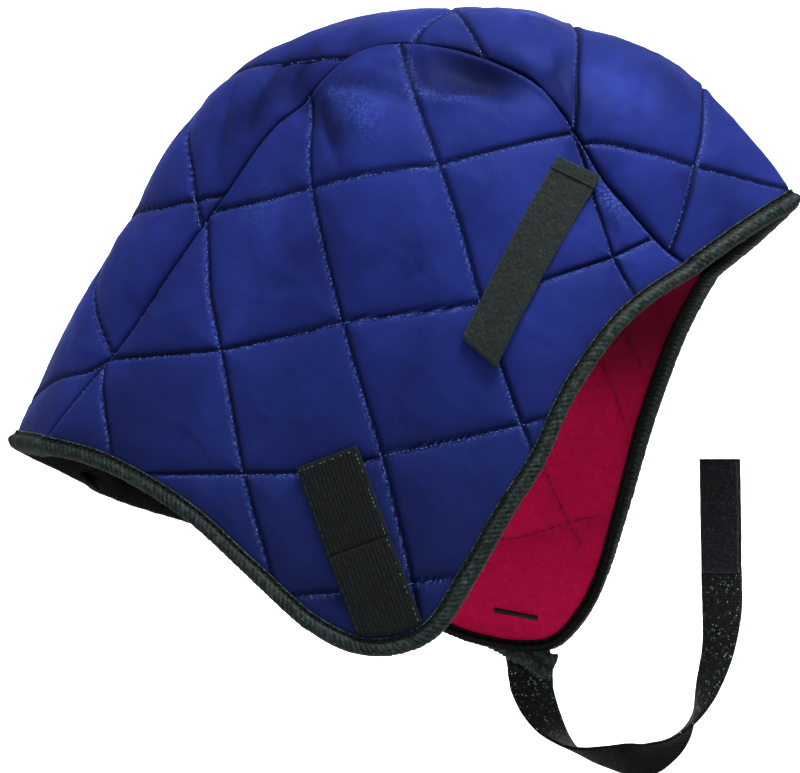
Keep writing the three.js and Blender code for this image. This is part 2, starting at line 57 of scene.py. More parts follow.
# ---------------------------------------------------------------------------------------------
# the cap's surface, in millimetres
# ---------------------------------------------------------------------------------------------
OUTER_THICK, LINING_THICK, GAP = 3.0, 1.6, 0.3
WALL = OUTER_THICK + GAP + LINING_THICK
KEYS = ("ridgeX", "ridgeZ", "seamX", "seamY", "seamZ", "shiftX", "shiftZ",
        "rightX", "rightY", "rightZ", "leftX", "leftY", "leftZ", "crease")
SECTIONS = np.array([
    [135.8, -63.2, 106, 30, -88, -3.3, 3, 106, 30, -88, 102.7, 30, -85, 38],
    [129, -53.5, 96, 35, -79.5, -3, 2, 94, 40, -97, 96.2, 40, -92.5, 29],
    [117, -39.5, 86, 39, -68, -1.5, 1, 84, 48, -107, 88.4, 47, -105, 20],
    [101, -21, 76, 42, -55.5, 0, 0, 76, 54, -119, 81.6, 52, -120, 12],
    [82, -9.5, 70, 43, -45, 0, 0, 68, 58, -133, 75.6, 56, -135, 6],
    [65, -3.5, 64, 44, -35, 0, 0, 60.5, 61, -151, 70, 59, -152, 0],
    [47, 2.5, 54, 44, -23, 0, 0, 49, 62, -169, 65.2, 60, -168, 0],
    [26, 5.5, 35, 43, -14, 0, 0, 37, 61, -189, 60, 60, -184, 0],
    [4, 4.6, 14, 42, -10, 0, 0, 23.5, 60, -207.5, 51.8, 58, -201, 0],
    [-16, 1.9, -4, 42, -12, 0, 0, 3, 60, -213, 38.5, 57, -212, 0],
    [-38, -4.8, -21, 42, -24, 0, 0, -17, 61, -205.2, 11, 58, -209, 0],
    [-58, -14.5, -36, 42, -39, 0, 0, -37.5, 61, -187.5, -22, 60, -194, 0],
    [-77, -33.5, -50, 42, -57.5, 0, -0.5, -58.5, 58, -169.5, -58, 59, -180, 4],
    [-95, -62, -68, 41, -81, -0.5, -1.5, -76.5, 53, -158.5, -88, 53, -167.6, 8],
    [-112, -89, -87, 39, -106, -1, -3, -93, 46, -151, -106, 46, -161.7, 12],
    [-126.5, -115.5, -105, 36, -126.5, -1.5, -5, -107, 40, -147, -116.5, 40, -157.4, 20],
    [-140, -142, -120, 33, -144.5, -2, -9.9, -120, 33, -144.5, -122, 33, -154.4, 29],
])
LAST = len(SECTIONS) - 1
# side, x, z, along, across, tilt, out
DENTS = [
    (-1, 36, -22.5, 18, 6.5, -14, -5.4), (-1, -3, -36, 9, 9, 0, 2.6), (-1, -26, -30, 7, 14, 35, -2.6),
    (-1, 79, -60, 5, 11, -25, -1.6), (-1, -75, -120, 20, 22, 0, -1.6),
    (1, 30, -40, 22, 10, -8, -2.4), (1, -45, -105, 20, 24, 15, -2.0), (1, 52, -178, 9, 24, 20, -1.5),
]


def unit(v):
    return v / np.maximum(np.linalg.norm(v, axis=-1, keepdims=True), 1e-9)


def hermite(a, t):
    """Smooth curve through the rows of a, t in rows."""
    n = len(a) - 1
    i = np.clip(np.floor(t).astype(int), 0, n - 1)
    f = (t - i)[..., None] if a.ndim > 1 else t - i
    ext = np.concatenate([2 * a[:1] - a[1:2], a, 2 * a[-1:] - a[-2:-1]])
    p0, p1, p2, p3 = ext[i], ext[i + 1], ext[i + 2], ext[i + 3]
    m1, m2, f2, f3 = (p2 - p0) / 2, (p3 - p1) / 2, f * f, f * f * f
    return (2 * f3 - 3 * f2 + 1) * p1 + (f3 - 2 * f2 + f) * m1 + (-2 * f3 + 3 * f2) * p2 + (f3 - f2) * m2


def station(u, side):
    row = hermite(SECTIONS.astype(float), u)
    c = {k: row[..., i] for i, k in enumerate(KEYS)}
    shift = 1.0 if side > 0 else 0.0
    zero = np.zeros_like(u)
    ridge = np.stack([c["ridgeX"], zero, c["ridgeZ"]], -1)
    seam = np.stack([c["seamX"] + shift * c["shiftX"], side * c["seamY"], c["seamZ"] + shift * c["shiftZ"]], -1)
    if side < 0:
        rim = np.stack([c["rightX"], -c["rightY"], c["rightZ"]], -1)
    else:
        rim = np.stack([c["leftX"], c["leftY"], c["leftZ"]], -1)
    fall = np.stack([seam[..., 0] - ridge[..., 0], zero, seam[..., 2] - ridge[..., 2]], -1)
    drop = np.linalg.norm(fall, axis=-1)
    crease = np.radians(c["crease"])
    turn = np.minimum(2 * np.arctan2(drop, np.abs(seam[..., 1])) - crease, math.radians(86))
    return ridge, seam, rim, fall / drop[..., None], crease, turn


def bezier(a, b, c, d, t):
    t = t[..., None]
    s = 1 - t
    return a * s**3 + b * 3 * s * s * t + c * 3 * s * t * t + d * t**3


def band_half(u, side, w):
    ridge, seam, _, fall, crease, turn = station(u, side)
    out = np.array([0, side, 0.0])
    h = np.linalg.norm(seam - ridge, axis=-1)[..., None] * 0.36
    b = ridge + out * np.cos(crease)[..., None] * h + fall * np.sin(crease)[..., None] * h
    c = seam - out * np.cos(turn)[..., None] * h - fall * np.sin(turn)[..., None] * h
    return bezier(ridge, b, c, seam, w)


def band_point(u, w):
    """w from -1 at the right seam, over 0 at the ridge, to 1 at the left seam."""
    return np.where((w < 0)[..., None], band_half(u, -1, np.abs(w)), band_half(u, 1, np.abs(w)))


def side_point(u, side, v):
    _, seam, rim, _, _, turn = station(u, side)
    down = rim - seam
    down[..., 1] = 0
    h = np.linalg.norm(rim - seam, axis=-1)[..., None]
    down = down / np.maximum(np.linalg.norm(down, axis=-1)[..., None], 1e-9)
    out = np.array([0, side, 0.0])
    lean = math.radians(96)
    b = seam + out * np.cos(turn)[..., None] * h * 0.30 + down * np.sin(turn)[..., None] * h * 0.30
    c = rim - out * math.cos(lean) * h * 0.33 - down * math.sin(lean) * h * 0.33
    return bezier(seam, b, c, rim, v)


def dent_at(p):
    o = np.zeros(p.shape[:-1])
    for side, x, z, along, across, tilt, out in DENTS:
        a = math.radians(tilt)
        dx, dz = p[..., 0] - x, p[..., 2] - z
        m = (dx * math.cos(a) + dz * math.sin(a)) / along
        n = (-dx * math.sin(a) + dz * math.cos(a)) / across
        here = out * np.exp(-(m * m + n * n)) * np.minimum(1, np.abs(p[..., 1]) / 20)
        o += np.where((p[..., 1] < 0) == (side < 0), here, 0)
    return o


def panel_coordinates(side, x, z):
    """Panel coordinates of places seen square to the side."""
    u, v = np.full(x.shape, 8.0), np.full(x.shape, 0.5)
    h = 1e-3
    for _ in range(70):
        p = side_point(u, side, v)
        pu, pv = (side_point(u + h, side, v) - p) / h, (side_point(u, side, v + h) - p) / h
        ex, ez = x - p[..., 0], z - p[..., 2]
        det = pu[..., 0] * pv[..., 2] - pu[..., 2] * pv[..., 0]
        det = np.where(np.abs(det) < 1e-6, 1e-6, det)
        du, dv = (ex * pv[..., 2] - ez * pv[..., 0]) / det, (pu[..., 0] * ez - pu[..., 2] * ex) / det
        cut = np.minimum(1, 1.2 / np.maximum(np.maximum(np.abs(du), 4 * np.abs(dv)), 1e-9))
        u, v = np.clip(u + du * cut, 0.01, LAST - 0.01), np.clip(v + dv * cut, -0.1, 1.1)
    return u, v


def raw_point(name, u, v):
    if name == "band":
        return band_point(u, v)
    return side_point(u, -1 if name == "right" else 1, v)


def raw_normal(name, u, v):
    h = 2e-3
    pu = raw_point(name, u + h, v) - raw_point(name, u - h, v)
    pv = raw_point(name, u, v + h) - raw_point(name, u, v - h)
    n = unit(np.cross(pu, pv))
    p = raw_point(name, u, v)
    away = p - np.array([0, 0, -95.0])
    away[..., 0] *= 0.25
    flip = np.sign((n * away).sum(-1, keepdims=True))
    return n * np.where(flip == 0, 1, flip)


def surface(name, u, v):
    """Point and outward normal of the outer cloth.  Next to a seam the two panels share one normal."""
    p, n = raw_point(name, u, v), raw_normal(name, u, v)
    one = np.ones_like(u)
    for side, here in ((-1, "right"), (1, "left")):
        if name not in ("band", here):
            continue
        nb = raw_normal("band", u, side * 0.985 * one)
        ns = raw_normal(here, u, 0.015 * one)
        common = unit(nb + ns)
        if name == "band":
            seam = band_point(u, side * one)
            own, near = nb, np.where(v * side > 0, 1.0, 0.0)
        else:
            seam, own, near = raw_point(here, u, 0 * one), ns, 1.0
        fade = near * np.exp(-np.linalg.norm(p - seam, axis=-1) / 7)
        n = unit(n + (common - own) * fade[..., None])
    return p + n * dent_at(p)[..., None], n


# ---------------------------------------------------------------------------------------------
# noise
# ---------------------------------------------------------------------------------------------
def lattice(i, j, k, seed):
    with np.errstate(over="ignore"):
        h = (i.astype(np.uint32) * np.uint32(0x8DA6B343)) ^ (j.astype(np.uint32) * np.uint32(0xD8163841)) \
            ^ (k.astype(np.uint32) * np.uint32(0xCB1AB31F)) ^ np.uint32(seed * 2654435761 & 0xFFFFFFFF)
        h = (h ^ (h >> np.uint32(15))) * np.uint32(0x2C1B3C6D)
        h = (h ^ (h >> np.uint32(12))) * np.uint32(0x297A2D39)
        h = h ^ (h >> np.uint32(15))
    return h.astype(np.float64) / 2147483647.5 - 1


def noise(p, size, seed=0):
    """Smooth noise from -1 to 1 whose lumps are about size across."""
    q = p / size + 1000.0
    b = np.floor(q).astype(np.int64)
    f = q - b
    f = f * f * f * (f * (f * 6 - 15) + 10)
    out = np.zeros(p.shape[:-1])
    for dx in (0, 1):
        for dy in (0, 1):
            for dz in (0, 1):
                w = (f[..., 0] if dx else 1 - f[..., 0]) * (f[..., 1] if dy else 1 - f[..., 1]) * (f[..., 2] if dz else 1 - f[..., 2])
                out += w * lattice(b[..., 0] + dx, b[..., 1] + dy, b[..., 2] + dz, seed)
    return out


def noise1(x, seed=0):
    z = np.zeros_like(x)
    return noise(np.stack([x, z, z + 0.5], -1), 1.0, seed)


def smooth(a, b, x):
    t = np.clip((x - a) / (b - a), 0, 1)
    return t * t * (3 - 2 * t)


# ---------------------------------------------------------------------------------------------
# quilting: lines of stitches on each panel, in panel coordinates (row of SECTIONS, place across)
# ---------------------------------------------------------------------------------------------
# (x, z) in mm, seen square to the side
RIGHT_LINES = [
    [(-68, -68), (-56, -66), (-21, -60), (14, -55), (26, -54), (47, -48), (66, -43), (76, -40)],
    [(-102, -114.5), (-91, -114), (-50, -113), (-5, -105), (15, -103), (39, -100), (63, -91), (81, -84), (93, -77), (104, -70)],
    [(-90, -154), (-68, -154), (-38, -154), (-22, -154), (2, -151), (10, -148), (31, -144), (53, -139), (61, -137), (74, -134)],
    [(-44, -195), (-24, -194), (-7, -193), (16, -190), (31, -188), (46, -186)],
    [(-96, -106), (-95, -116), (-95, -124), (-90, -145), (-87, -160)],
    [(-59, -58), (-58, -69), (-55, -94), (-50, -111), (-46, -127), (-40, -154), (-29, -192), (-26, -205)],
    [(-24, -18), (-23, -28), (-19, -59), (-5, -105), (3, -131), (8, -147), (17, -188), (20, -209), (21, -220)],
    [(6, -4), (9, -12), (26, -52), (34, -74), (40, -96), (47, -119), (51, -131), (57, -147), (62, -162)],
    [(62, -28), (67, -40), (75, -63), (81, -83), (89, -98), (95, -110)],
]
LEFT_LINES = [
    RIGHT_LINES[0], RIGHT_LINES[1],
    [(-92, -158), (-68, -160), (-38, -164), (-10, -169), (25, -175), (46, -169), (59, -166), (72, -161)],
    [(-40, -197), (-15, -199), (12, -202), (30, -208)],
    RIGHT_LINES[4],
    [(-59, -58), (-58, -69), (-55, -94), (-50, -113), (-46, -127), (-40, -164), (-33, -196)],
    [(-24, -18), (-23, -28), (-19, -59), (-3, -105), (20, -131), (36, -147), (46, -168), (53, -180), (60, -192)],
    [(6, -4), (9, -12), (26, -52), (39, -76), (52, -98), (63, -121), (70, -138), (76, -150)],
    [(64, -30), (66, -45), (67, -75), (70, -105), (76, -115), (86, -128)],
]
BAND_NEAR = [
    [(5.33, 0), (5.05, .28), (4.75, .745), (4.35, 1.0)],
    [(2.85, 0), (2.75, .075), (2.25, .34), (1.93, .53), (.85, .975), (.8, 1.0)],
    [(3.85, 1.0), (3.75, .965), (2.73, .765), (1.93, .53), (1.18, .235), (.48, 0)],
    [(8.05, 1.0), (7.78, .79), (7.35, .46), (6.78, 0)],
    [(6.88, 1.0), (6.93, .905), (7.12, .545), (7.42, 0)],
    [(11.55, 0), (11.93, .35), (12.15, .67), (12.58, 1.0)],
    [(13.4, 0), (13.83, .26), (14.3, 1.0)],
    [(13.1, 0), (12.73, .615), (12.4, .86), (12.12, 1.0)],
    [(15.42, 0), (15.18, .265), (14.7, .91), (14.4, 1.0)],
    [(11.4, 0), (10.65, .38), (9.58, .86), (9.3, 1.0)],
]
BAND_FAR = [
    [(5.33, 0), (5.75, .5), (6.15, 1.0)],
    [(2.85, 0), (3.4, .5), (4.1, 1.0)],
    [(.48, 0), (1.0, .35), (2.3, 1.0)],
    [(6.78, 0), (7.35, .46), (8.05, 1.0)],
    [(7.42, 0), (7.0, .55), (6.6, 1.0)],
    [(11.55, 0), (11.93, .35), (12.3, 1.0)],
    [(13.4, 0), (13.83, .26), (14.3, 1.0)],
    [(13.1, 0), (12.73, .615), (12.2, 1.0)],
    [(15.42, 0), (15.18, .265), (14.4, 1.0)],
    [(11.4, 0), (10.65, .38), (9.4, 1.0)],
]
LINES = {
    "right": RIGHT_LINES,
    "left": LEFT_LINES,
    "band": [[(u, -w) for u, w in line] for line in BAND_NEAR] + [list(line) for line in BAND_FAR],
}
# folds in the cloth: (x, z) seen square to the side, or on the band panel coordinates; then depth in mm
# (out where positive) and the reach on each side of the line, first below or to the rear of it
FOLDS = {
    "right": [
        ([(11, -14), (15, -21), (19, -28), (27, -29), (36, -28.5), (47, -30.5)], -1.5, 2.0, 6.5),
        ([(9, -15), (13, -24), (18, -31.5), (27, -33), (36, -32.5)], 1.0, 3.0, 2.0),
        ([(-20.5, -27), (-16, -38), (-9.2, -51)], -1.9, 1.5, 7.0),
        ([(-15, -25), (-3, -27), (6, -29), (16, -32)], -1.7, 2.0, 4.5),
        ([(-10, -21), (1, -21.5), (11, -24)], 0.9, 3.5, 3.0),
        ([(-46, -57), (-36, -46), (-29, -36)], 0.7, 3.0, 5.0),
        ([(75, -55), (79, -60), (81.5, -70), (84, -79)], 1.3, 1.8, 2.4),
        ([(73, -60), (77, -68), (81, -78)], -0.8, 2.0, 2.0),
        ([(40, -75), (52, -96), (58, -118)], -0.45, 5.0, 9.0),
        ([(-50, -80), (-38, -88), (-24, -92)], -0.5, 6.0, 9.0),
        ([(-80, -100), (-84, -92), (-86, -84)], -0.6, 3.0, 6.0),
    ],
    "left": [
        ([(13, -17), (17, -24), (22, -30), (31, -33), (44, -35)], -1.4, 2.0, 6.5),
        ([(-20.5, -29), (-16, -38), (-9.2, -51)], -1.3, 1.5, 6.0),
        ([(30, -160), (34, -175), (36, -192)], -0.7, 4.0, 6.0),
    ],
    "band": [
        ([(6.18, -.33), (5.65, -.705), (4.55, -.98)], 1.0, 2.4, 9.0),
        ([(11.0, -.50), (11.5, -.72), (12.1, -.90)], -1.3, 2.5, 4.0),
        ([(10.1, -.55), (10.7, -.74), (11.3, -.90)], -1.5, 2.5, 4.0),
        ([(9.6, -.62), (10.0, -.78), (10.6, -.96)], -1.2, 2.0, 5.0),
        ([(5.0, -.55), (5.2, -.75), (5.4, -.96)], -1.3, 2.5, 4.0),
        ([(3.6, -.3), (3.2, -.55), (2.9, -.7)], -0.6, 3.0, 6.0),
        ([(6.0, .3), (5.4, .7), (4.6, .95)], 0.7, 3.0, 8.0),
        ([(11.0, .50), (11.5, .72), (12.1, .90)], -1.0, 2.5, 4.0),
    ],
}


# painted shade in hollows: side, x, z, along, across, tilt, how dark
SHADES = [
    (-1, 36, -23.0, 18, 7.0, -17, 0.86), (-1, -31, -19.5, 15, 7, 38, 0.52), (-1, -45, -35, 9, 6, 55, 0.45), (-1, -20, -34, 7, 3.2, -62, 0.45),
    (-1, 64, -27, 11, 4.5, -55, 0.40), (-1, -12, -40, 9, 3.0, -60, 0.30), (1, 43, -23, 14, 6, -14, 0.35), (1, -32, -20, 12, 6, 42, 0.35),
]


# painted highlights on the lips of folds: side, x, z, along, across, tilt, how much
GLOWS = [
    (-1, 13, -19, 7, 1.8, -65, 0.8), (-1, 19, -29, 6, 2.0, -5, 0.9), (-1, 33, -31, 9, 1.6, 8, 0.5), (-1, -3, -34, 12, 7, -50, 0.38),
    (-1, 79, -64, 8, 2.8, -52, 0.8), (-1, -12, -27, 6, 2.4, 5, 0.4), (-1, -37, -64, 9, 5, 40, 0.25), (1, 19, -30, 6, 2.0, -5, 0.6),
]


class Lines:
    """Stitch lines or folds of one panel as rows of points, and how far any point is from them."""

    def __init__(self, name, lines, square=False, step=1.0, soft=9.0):
        pts, nrm, tan, arc, ids, ends = [], [], [], [], [], []
        for k, ctrl in enumerate(lines):
            c = np.array(ctrl, float)
            if square:
                knots = np.linspace(0, len(c) - 1, 12 * len(c))
                xz = np.stack([np.interp(knots, np.arange(len(c)), c[:, i]) for i in (0, 1)], -1)
                u, v = panel_coordinates(-1 if name == "right" else 1, xz[:, 0], xz[:, 1])
                inside = (v >= -0.001) & (v <= 1.001) & (u > 0.03) & (u < LAST - 0.03)
                first, last = np.argmax(inside), len(inside) - np.argmax(inside[::-1])
                c = np.stack([u, v], -1)[first:last]
            # straight runs between the points, then softened over about soft mm
            run = np.concatenate([[0], np.cumsum(np.hypot(np.diff(c[:, 0]) * 22, np.diff(c[:, 1]) * (55 if name == "band" else 105)))])
            t = np.linspace(0, run[-1], max(40, int(run[-1])))
            uv = np.stack([np.interp(t, run, c[:, 0]), np.interp(t, run, c[:, 1])], -1)
            w = min(max(1, int(soft / (t[1] - t[0]))), len(t) // 4)
            kern = np.hanning(2 * w + 3)[1:-1]
            kern /= kern.sum()
            for i in (0, 1):
                head = 2 * uv[0, i] - uv[w:0:-1, i]
                tail = 2 * uv[-1, i] - uv[-2:-w - 2:-1, i]
                uv[:, i] = np.convolve(np.concatenate([head, uv[:, i], tail]), kern, "valid")
            p, _ = surface(name, np.clip(uv[:, 0], 0.02, LAST - 0.02), uv[:, 1])
            s = np.concatenate([[0], np.cumsum(np.linalg.norm(np.diff(p, axis=0), axis=1))])
            q = np.linspace(0, s[-1], max(3, int(s[-1] / step)))
            u = np.clip(np.interp(q, s, uv[:, 0]), 0.02, LAST - 0.02)
            v = np.interp(q, s, uv[:, 1])
            p, n = surface(name, u, v)
            pts.append(p)
            nrm.append(n)
            tan.append(unit(np.gradient(p, axis=0)))
            arc.append(q)
            ids.append(np.full(len(q), k))
            ends.append(np.arange(len(q)) * 0 + s[-1])
        self.runs = [np.concatenate([[0], np.cumsum([len(p) for p in pts])])[k:k + 2] for k in range(len(pts))]
        self.p, self.n, self.t = (np.concatenate(x) for x in (pts, nrm, tan))
        # 1 where the side called positive lies above the line or towards the face, else -1
        across = np.cross(self.t, self.n)
        self.high = np.where(across[:, 2] + 0.5 * across[:, 0] > 0, 1.0, -1.0)
        self.s, self.id, self.total = (np.concatenate(x) for x in (arc, ids, ends))
        self.tree = KDTree(len(self.p))
        for i, p in enumerate(self.p):
            self.tree.insert(p, i)
        self.tree.balance()

    def near(self, points):
        flat = points.reshape(-1, 3)
        k = np.array([self.tree.find(p)[1] for p in flat])
        r = flat - self.p[k]
        t, n = self.t[k], self.n[k]
        run = (r * t).sum(-1)
        end = (self.s[k] < 0.6) | (self.s[k] > self.total[k] - 0.6)
        across = r - t * run[:, None]
        across -= n * (across * n).sum(-1, keepdims=True)
        d = np.sqrt((across**2).sum(-1) + np.where(end, run**2, np.maximum(0, np.abs(run) - 1.0) ** 2))
        side = np.sign((np.cross(t, n) * r).sum(-1))
        shape = points.shape[:-1]
        upper = side * self.high[k]
        return d.reshape(shape), (self.s[k] + run).reshape(shape), side.reshape(shape), self.id[k].reshape(shape), upper.reshape(shape)


QUILT = {name: Lines(name, LINES[name], square=name != "band") for name in ("right", "left", "band")}
FOLDED = {name: [Lines(name, [f[0]], square=name != "band") for f in FOLDS[name]] for name in FOLDS}


def puff(name, p, n, seam, rim, seed, row):
    """Height of the outer cloth over the plain surface, in mm, with how much painted shade it gets and how much light
    wear and painted highlight:
    seam and rim are the distances to them, row the place along the panel."""
    d, s, side, line, upper = QUILT[name].near(p)
    lump = noise(p, 26, seed)
    near = 1 - np.exp(-(d / 0.80) ** 1.3)
    wide = 1 - np.exp(-(d / (6.5 + 1.5 * lump)) ** 1.4)
    near_s = 1 - np.exp(-(seam / 0.9) ** 1.3)
    wide_s = 1 - np.exp(-(seam / 6.0) ** 1.4)
    h = -2.05 + 1.40 * np.minimum(near, near_s) + (1.45 + 0.40 * lump) * wide * wide_s
    h -= 0.5 * (1 - near_s)
    # painted shade along each quilting valley, stronger on its upper side, and along the seams
    signed = d * upper
    crease = np.maximum(np.exp(-((signed - 0.35) / 0.72) ** 2), 0.95 * np.exp(-(seam / 0.8) ** 2))
    crease = crease + np.where(upper > 0, 0.34, 0.16) * np.exp(-d / 2.4) + 0.22 * np.exp(-seam / 2.0)
    # light wear and painted highlight along the lower lip of each quilting line, where the light falls on it
    wear_and_highlight = np.exp(-((signed + 0.75) / 0.42) ** 2)
    # over the top the side panels roll up to the seam and the band sinks beside them, with painted shade in the sink
    # and painted highlight along the roll
    top = smooth(13.2, 11.4, row) * smooth(4.2, 5.6, row)
    shut = 1 - np.exp(-(seam / 1.3) ** 2)
    if name == "band":
        sink = top * np.exp(-(seam / 5.0) ** 1.3)
        h -= 1.15 * sink * shut
        h += 1.3 * np.exp(-(p[..., 1] / 8.0) ** 2) * np.exp(-(d / 3.0) ** 2)
        crease += 0.42 * top * np.exp(-seam / 4.0)
    else:
        h += top * 0.9 * np.exp(-((seam - 2.4) / 2.2) ** 2) * shut
        wear_and_highlight = np.maximum(wear_and_highlight, 0.9 * np.exp(-((seam - 1.5) / 0.5) ** 2))
    # gathers run square to the stitches
    k = s + side * 37.0 + line * 91.0
    h += 0.17 * np.exp(-d / 2.6) * near * noise1(k / 2.4, seed + 1)
    h += 0.34 * np.exp(-d / 6.0) * wide * noise1(k / 6.0, seed + 2)
    along = p[..., 0] * 1.0 + p[..., 2] * 0.35
    h += 0.30 * np.exp(-seam / 4.5) * near_s * noise1(along / 3.2 + (50 if name == "band" else 0), seed + 3)
    # soft creases of the satin
    q = p * np.array([1.0, 0.7, 1.0]) + 3.0 * np.stack([noise(p, 15, seed + 4), noise(p, 15, seed + 5), noise(p, 15, seed + 6)], -1)
    tilt = np.stack([q[..., 0] * 0.8 + q[..., 2] * 0.6, q[..., 1], (-q[..., 0] * 0.6 + q[..., 2] * 0.8) * 0.42], -1)
    ridge = 1 - np.abs(noise(tilt, 8.5, seed + 7))
    h += (0.26 * (ridge ** 3 - 0.3) + 0.14 * noise(q, 7.0, seed + 8)) * wide * wide_s
    h += 0.07 * noise(p, 2.6, seed + 9) * wide
    for lines, (_, depth, below, above) in zip(FOLDED[name], FOLDS[name]):
        fd, fs, _, _, fupper = lines.near(p)
        reach = np.where(fupper < 0, below, above)
        ends = np.minimum(fs, lines.total[0] - fs)
        taper = smooth(-4.0, 7.0, ends)
        fold = np.exp(-(fd / reach) ** 1.6) * taper * (0.35 + 0.65 * wide_s)
        h += depth * fold
        # painted shade in the deeper folds
        if depth < -1.0:
            crease += 0.34 * fold
    # painted shade in the hollows listed in SHADES
    for side_, x, z, along_, across_, tilt, much in SHADES:
        a = math.radians(tilt)
        dx, dz = p[..., 0] - x, p[..., 2] - z
        m, q_ = (dx * math.cos(a) + dz * math.sin(a)) / along_, (-dx * math.sin(a) + dz * math.cos(a)) / across_
        here = much * np.exp(-(m * m + q_ * q_) ** 1.3)
        crease += np.where((p[..., 1] < 0) == (side_ < 0), here, 0)
    # painted highlights on the lips listed in GLOWS
    if name != "band":
        for side_, x, z, along_, across_, tilt, much in GLOWS:
            a = math.radians(tilt)
            dx, dz = p[..., 0] - x, p[..., 2] - z
            m, q_ = (dx * math.cos(a) + dz * math.sin(a)) / along_, (-dx * math.sin(a) + dz * math.cos(a)) / across_
            wear_and_highlight += np.where((p[..., 1] < 0) == (side_ < 0), much * np.exp(-(m * m + q_ * q_)), 0)
    hold = smooth(2.5, 12.0, rim)
    end = 1 - 0.45 * smooth(14.2, 15.4, row) if name == "band" else 1.0
    return -0.40 * (1 - hold) + h * hold * end, np.clip(crease, 0, 1), np.clip(wear_and_highlight, 0, 1) * smooth(5, 8, rim)


# ---------------------------------------------------------------------------------------------
# meshes
# ---------------------------------------------------------------------------------------------
def make(name, verts, faces, materials, uv=None, face_material=None, crease=None, wear_and_highlight=None, flat=False):
    """verts in mm."""
    mesh = bpy.data.meshes.new(name)
    mesh.from_pydata((np.asarray(verts) * MM).tolist(), [], faces)
    if uv is not None:
        loops = np.empty(len(mesh.loops), np.int32)
        mesh.loops.foreach_get("vertex_index", loops)
        layer = mesh.uv_layers.new(name="UVMap")
        layer.data.foreach_set("uv", (np.asarray(uv)[loops] * MM).astype(np.float32).ravel())
    # the first attribute carries painted shade for valleys, seams, hollows and grooves; the second light wear and
    # painted highlight
    if crease is not None and crease.any():
        mesh.attributes.new("crease", "FLOAT", "POINT").data.foreach_set("value", crease.astype(np.float32))
    if wear_and_highlight is not None and wear_and_highlight.any():
        mesh.attributes.new("wear_and_highlight", "FLOAT", "POINT").data.foreach_set("value", wear_and_highlight.astype(np.float32))
    for m in materials:
        mesh.materials.append(m)
    if face_material is not None:
        mesh.polygons.foreach_set("material_index", np.asarray(face_material, np.int32))
    mesh.polygons.foreach_set("use_smooth", np.full(len(mesh.polygons), not flat))
    mesh.update()
    mesh.validate()
    obj = bpy.data.objects.new(name, mesh)
    scene.collection.objects.link(obj)
    return obj


def place(obj, slot, *nodes):
    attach(obj, "root")
    if nodes:
        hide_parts(*nodes)
    return obj


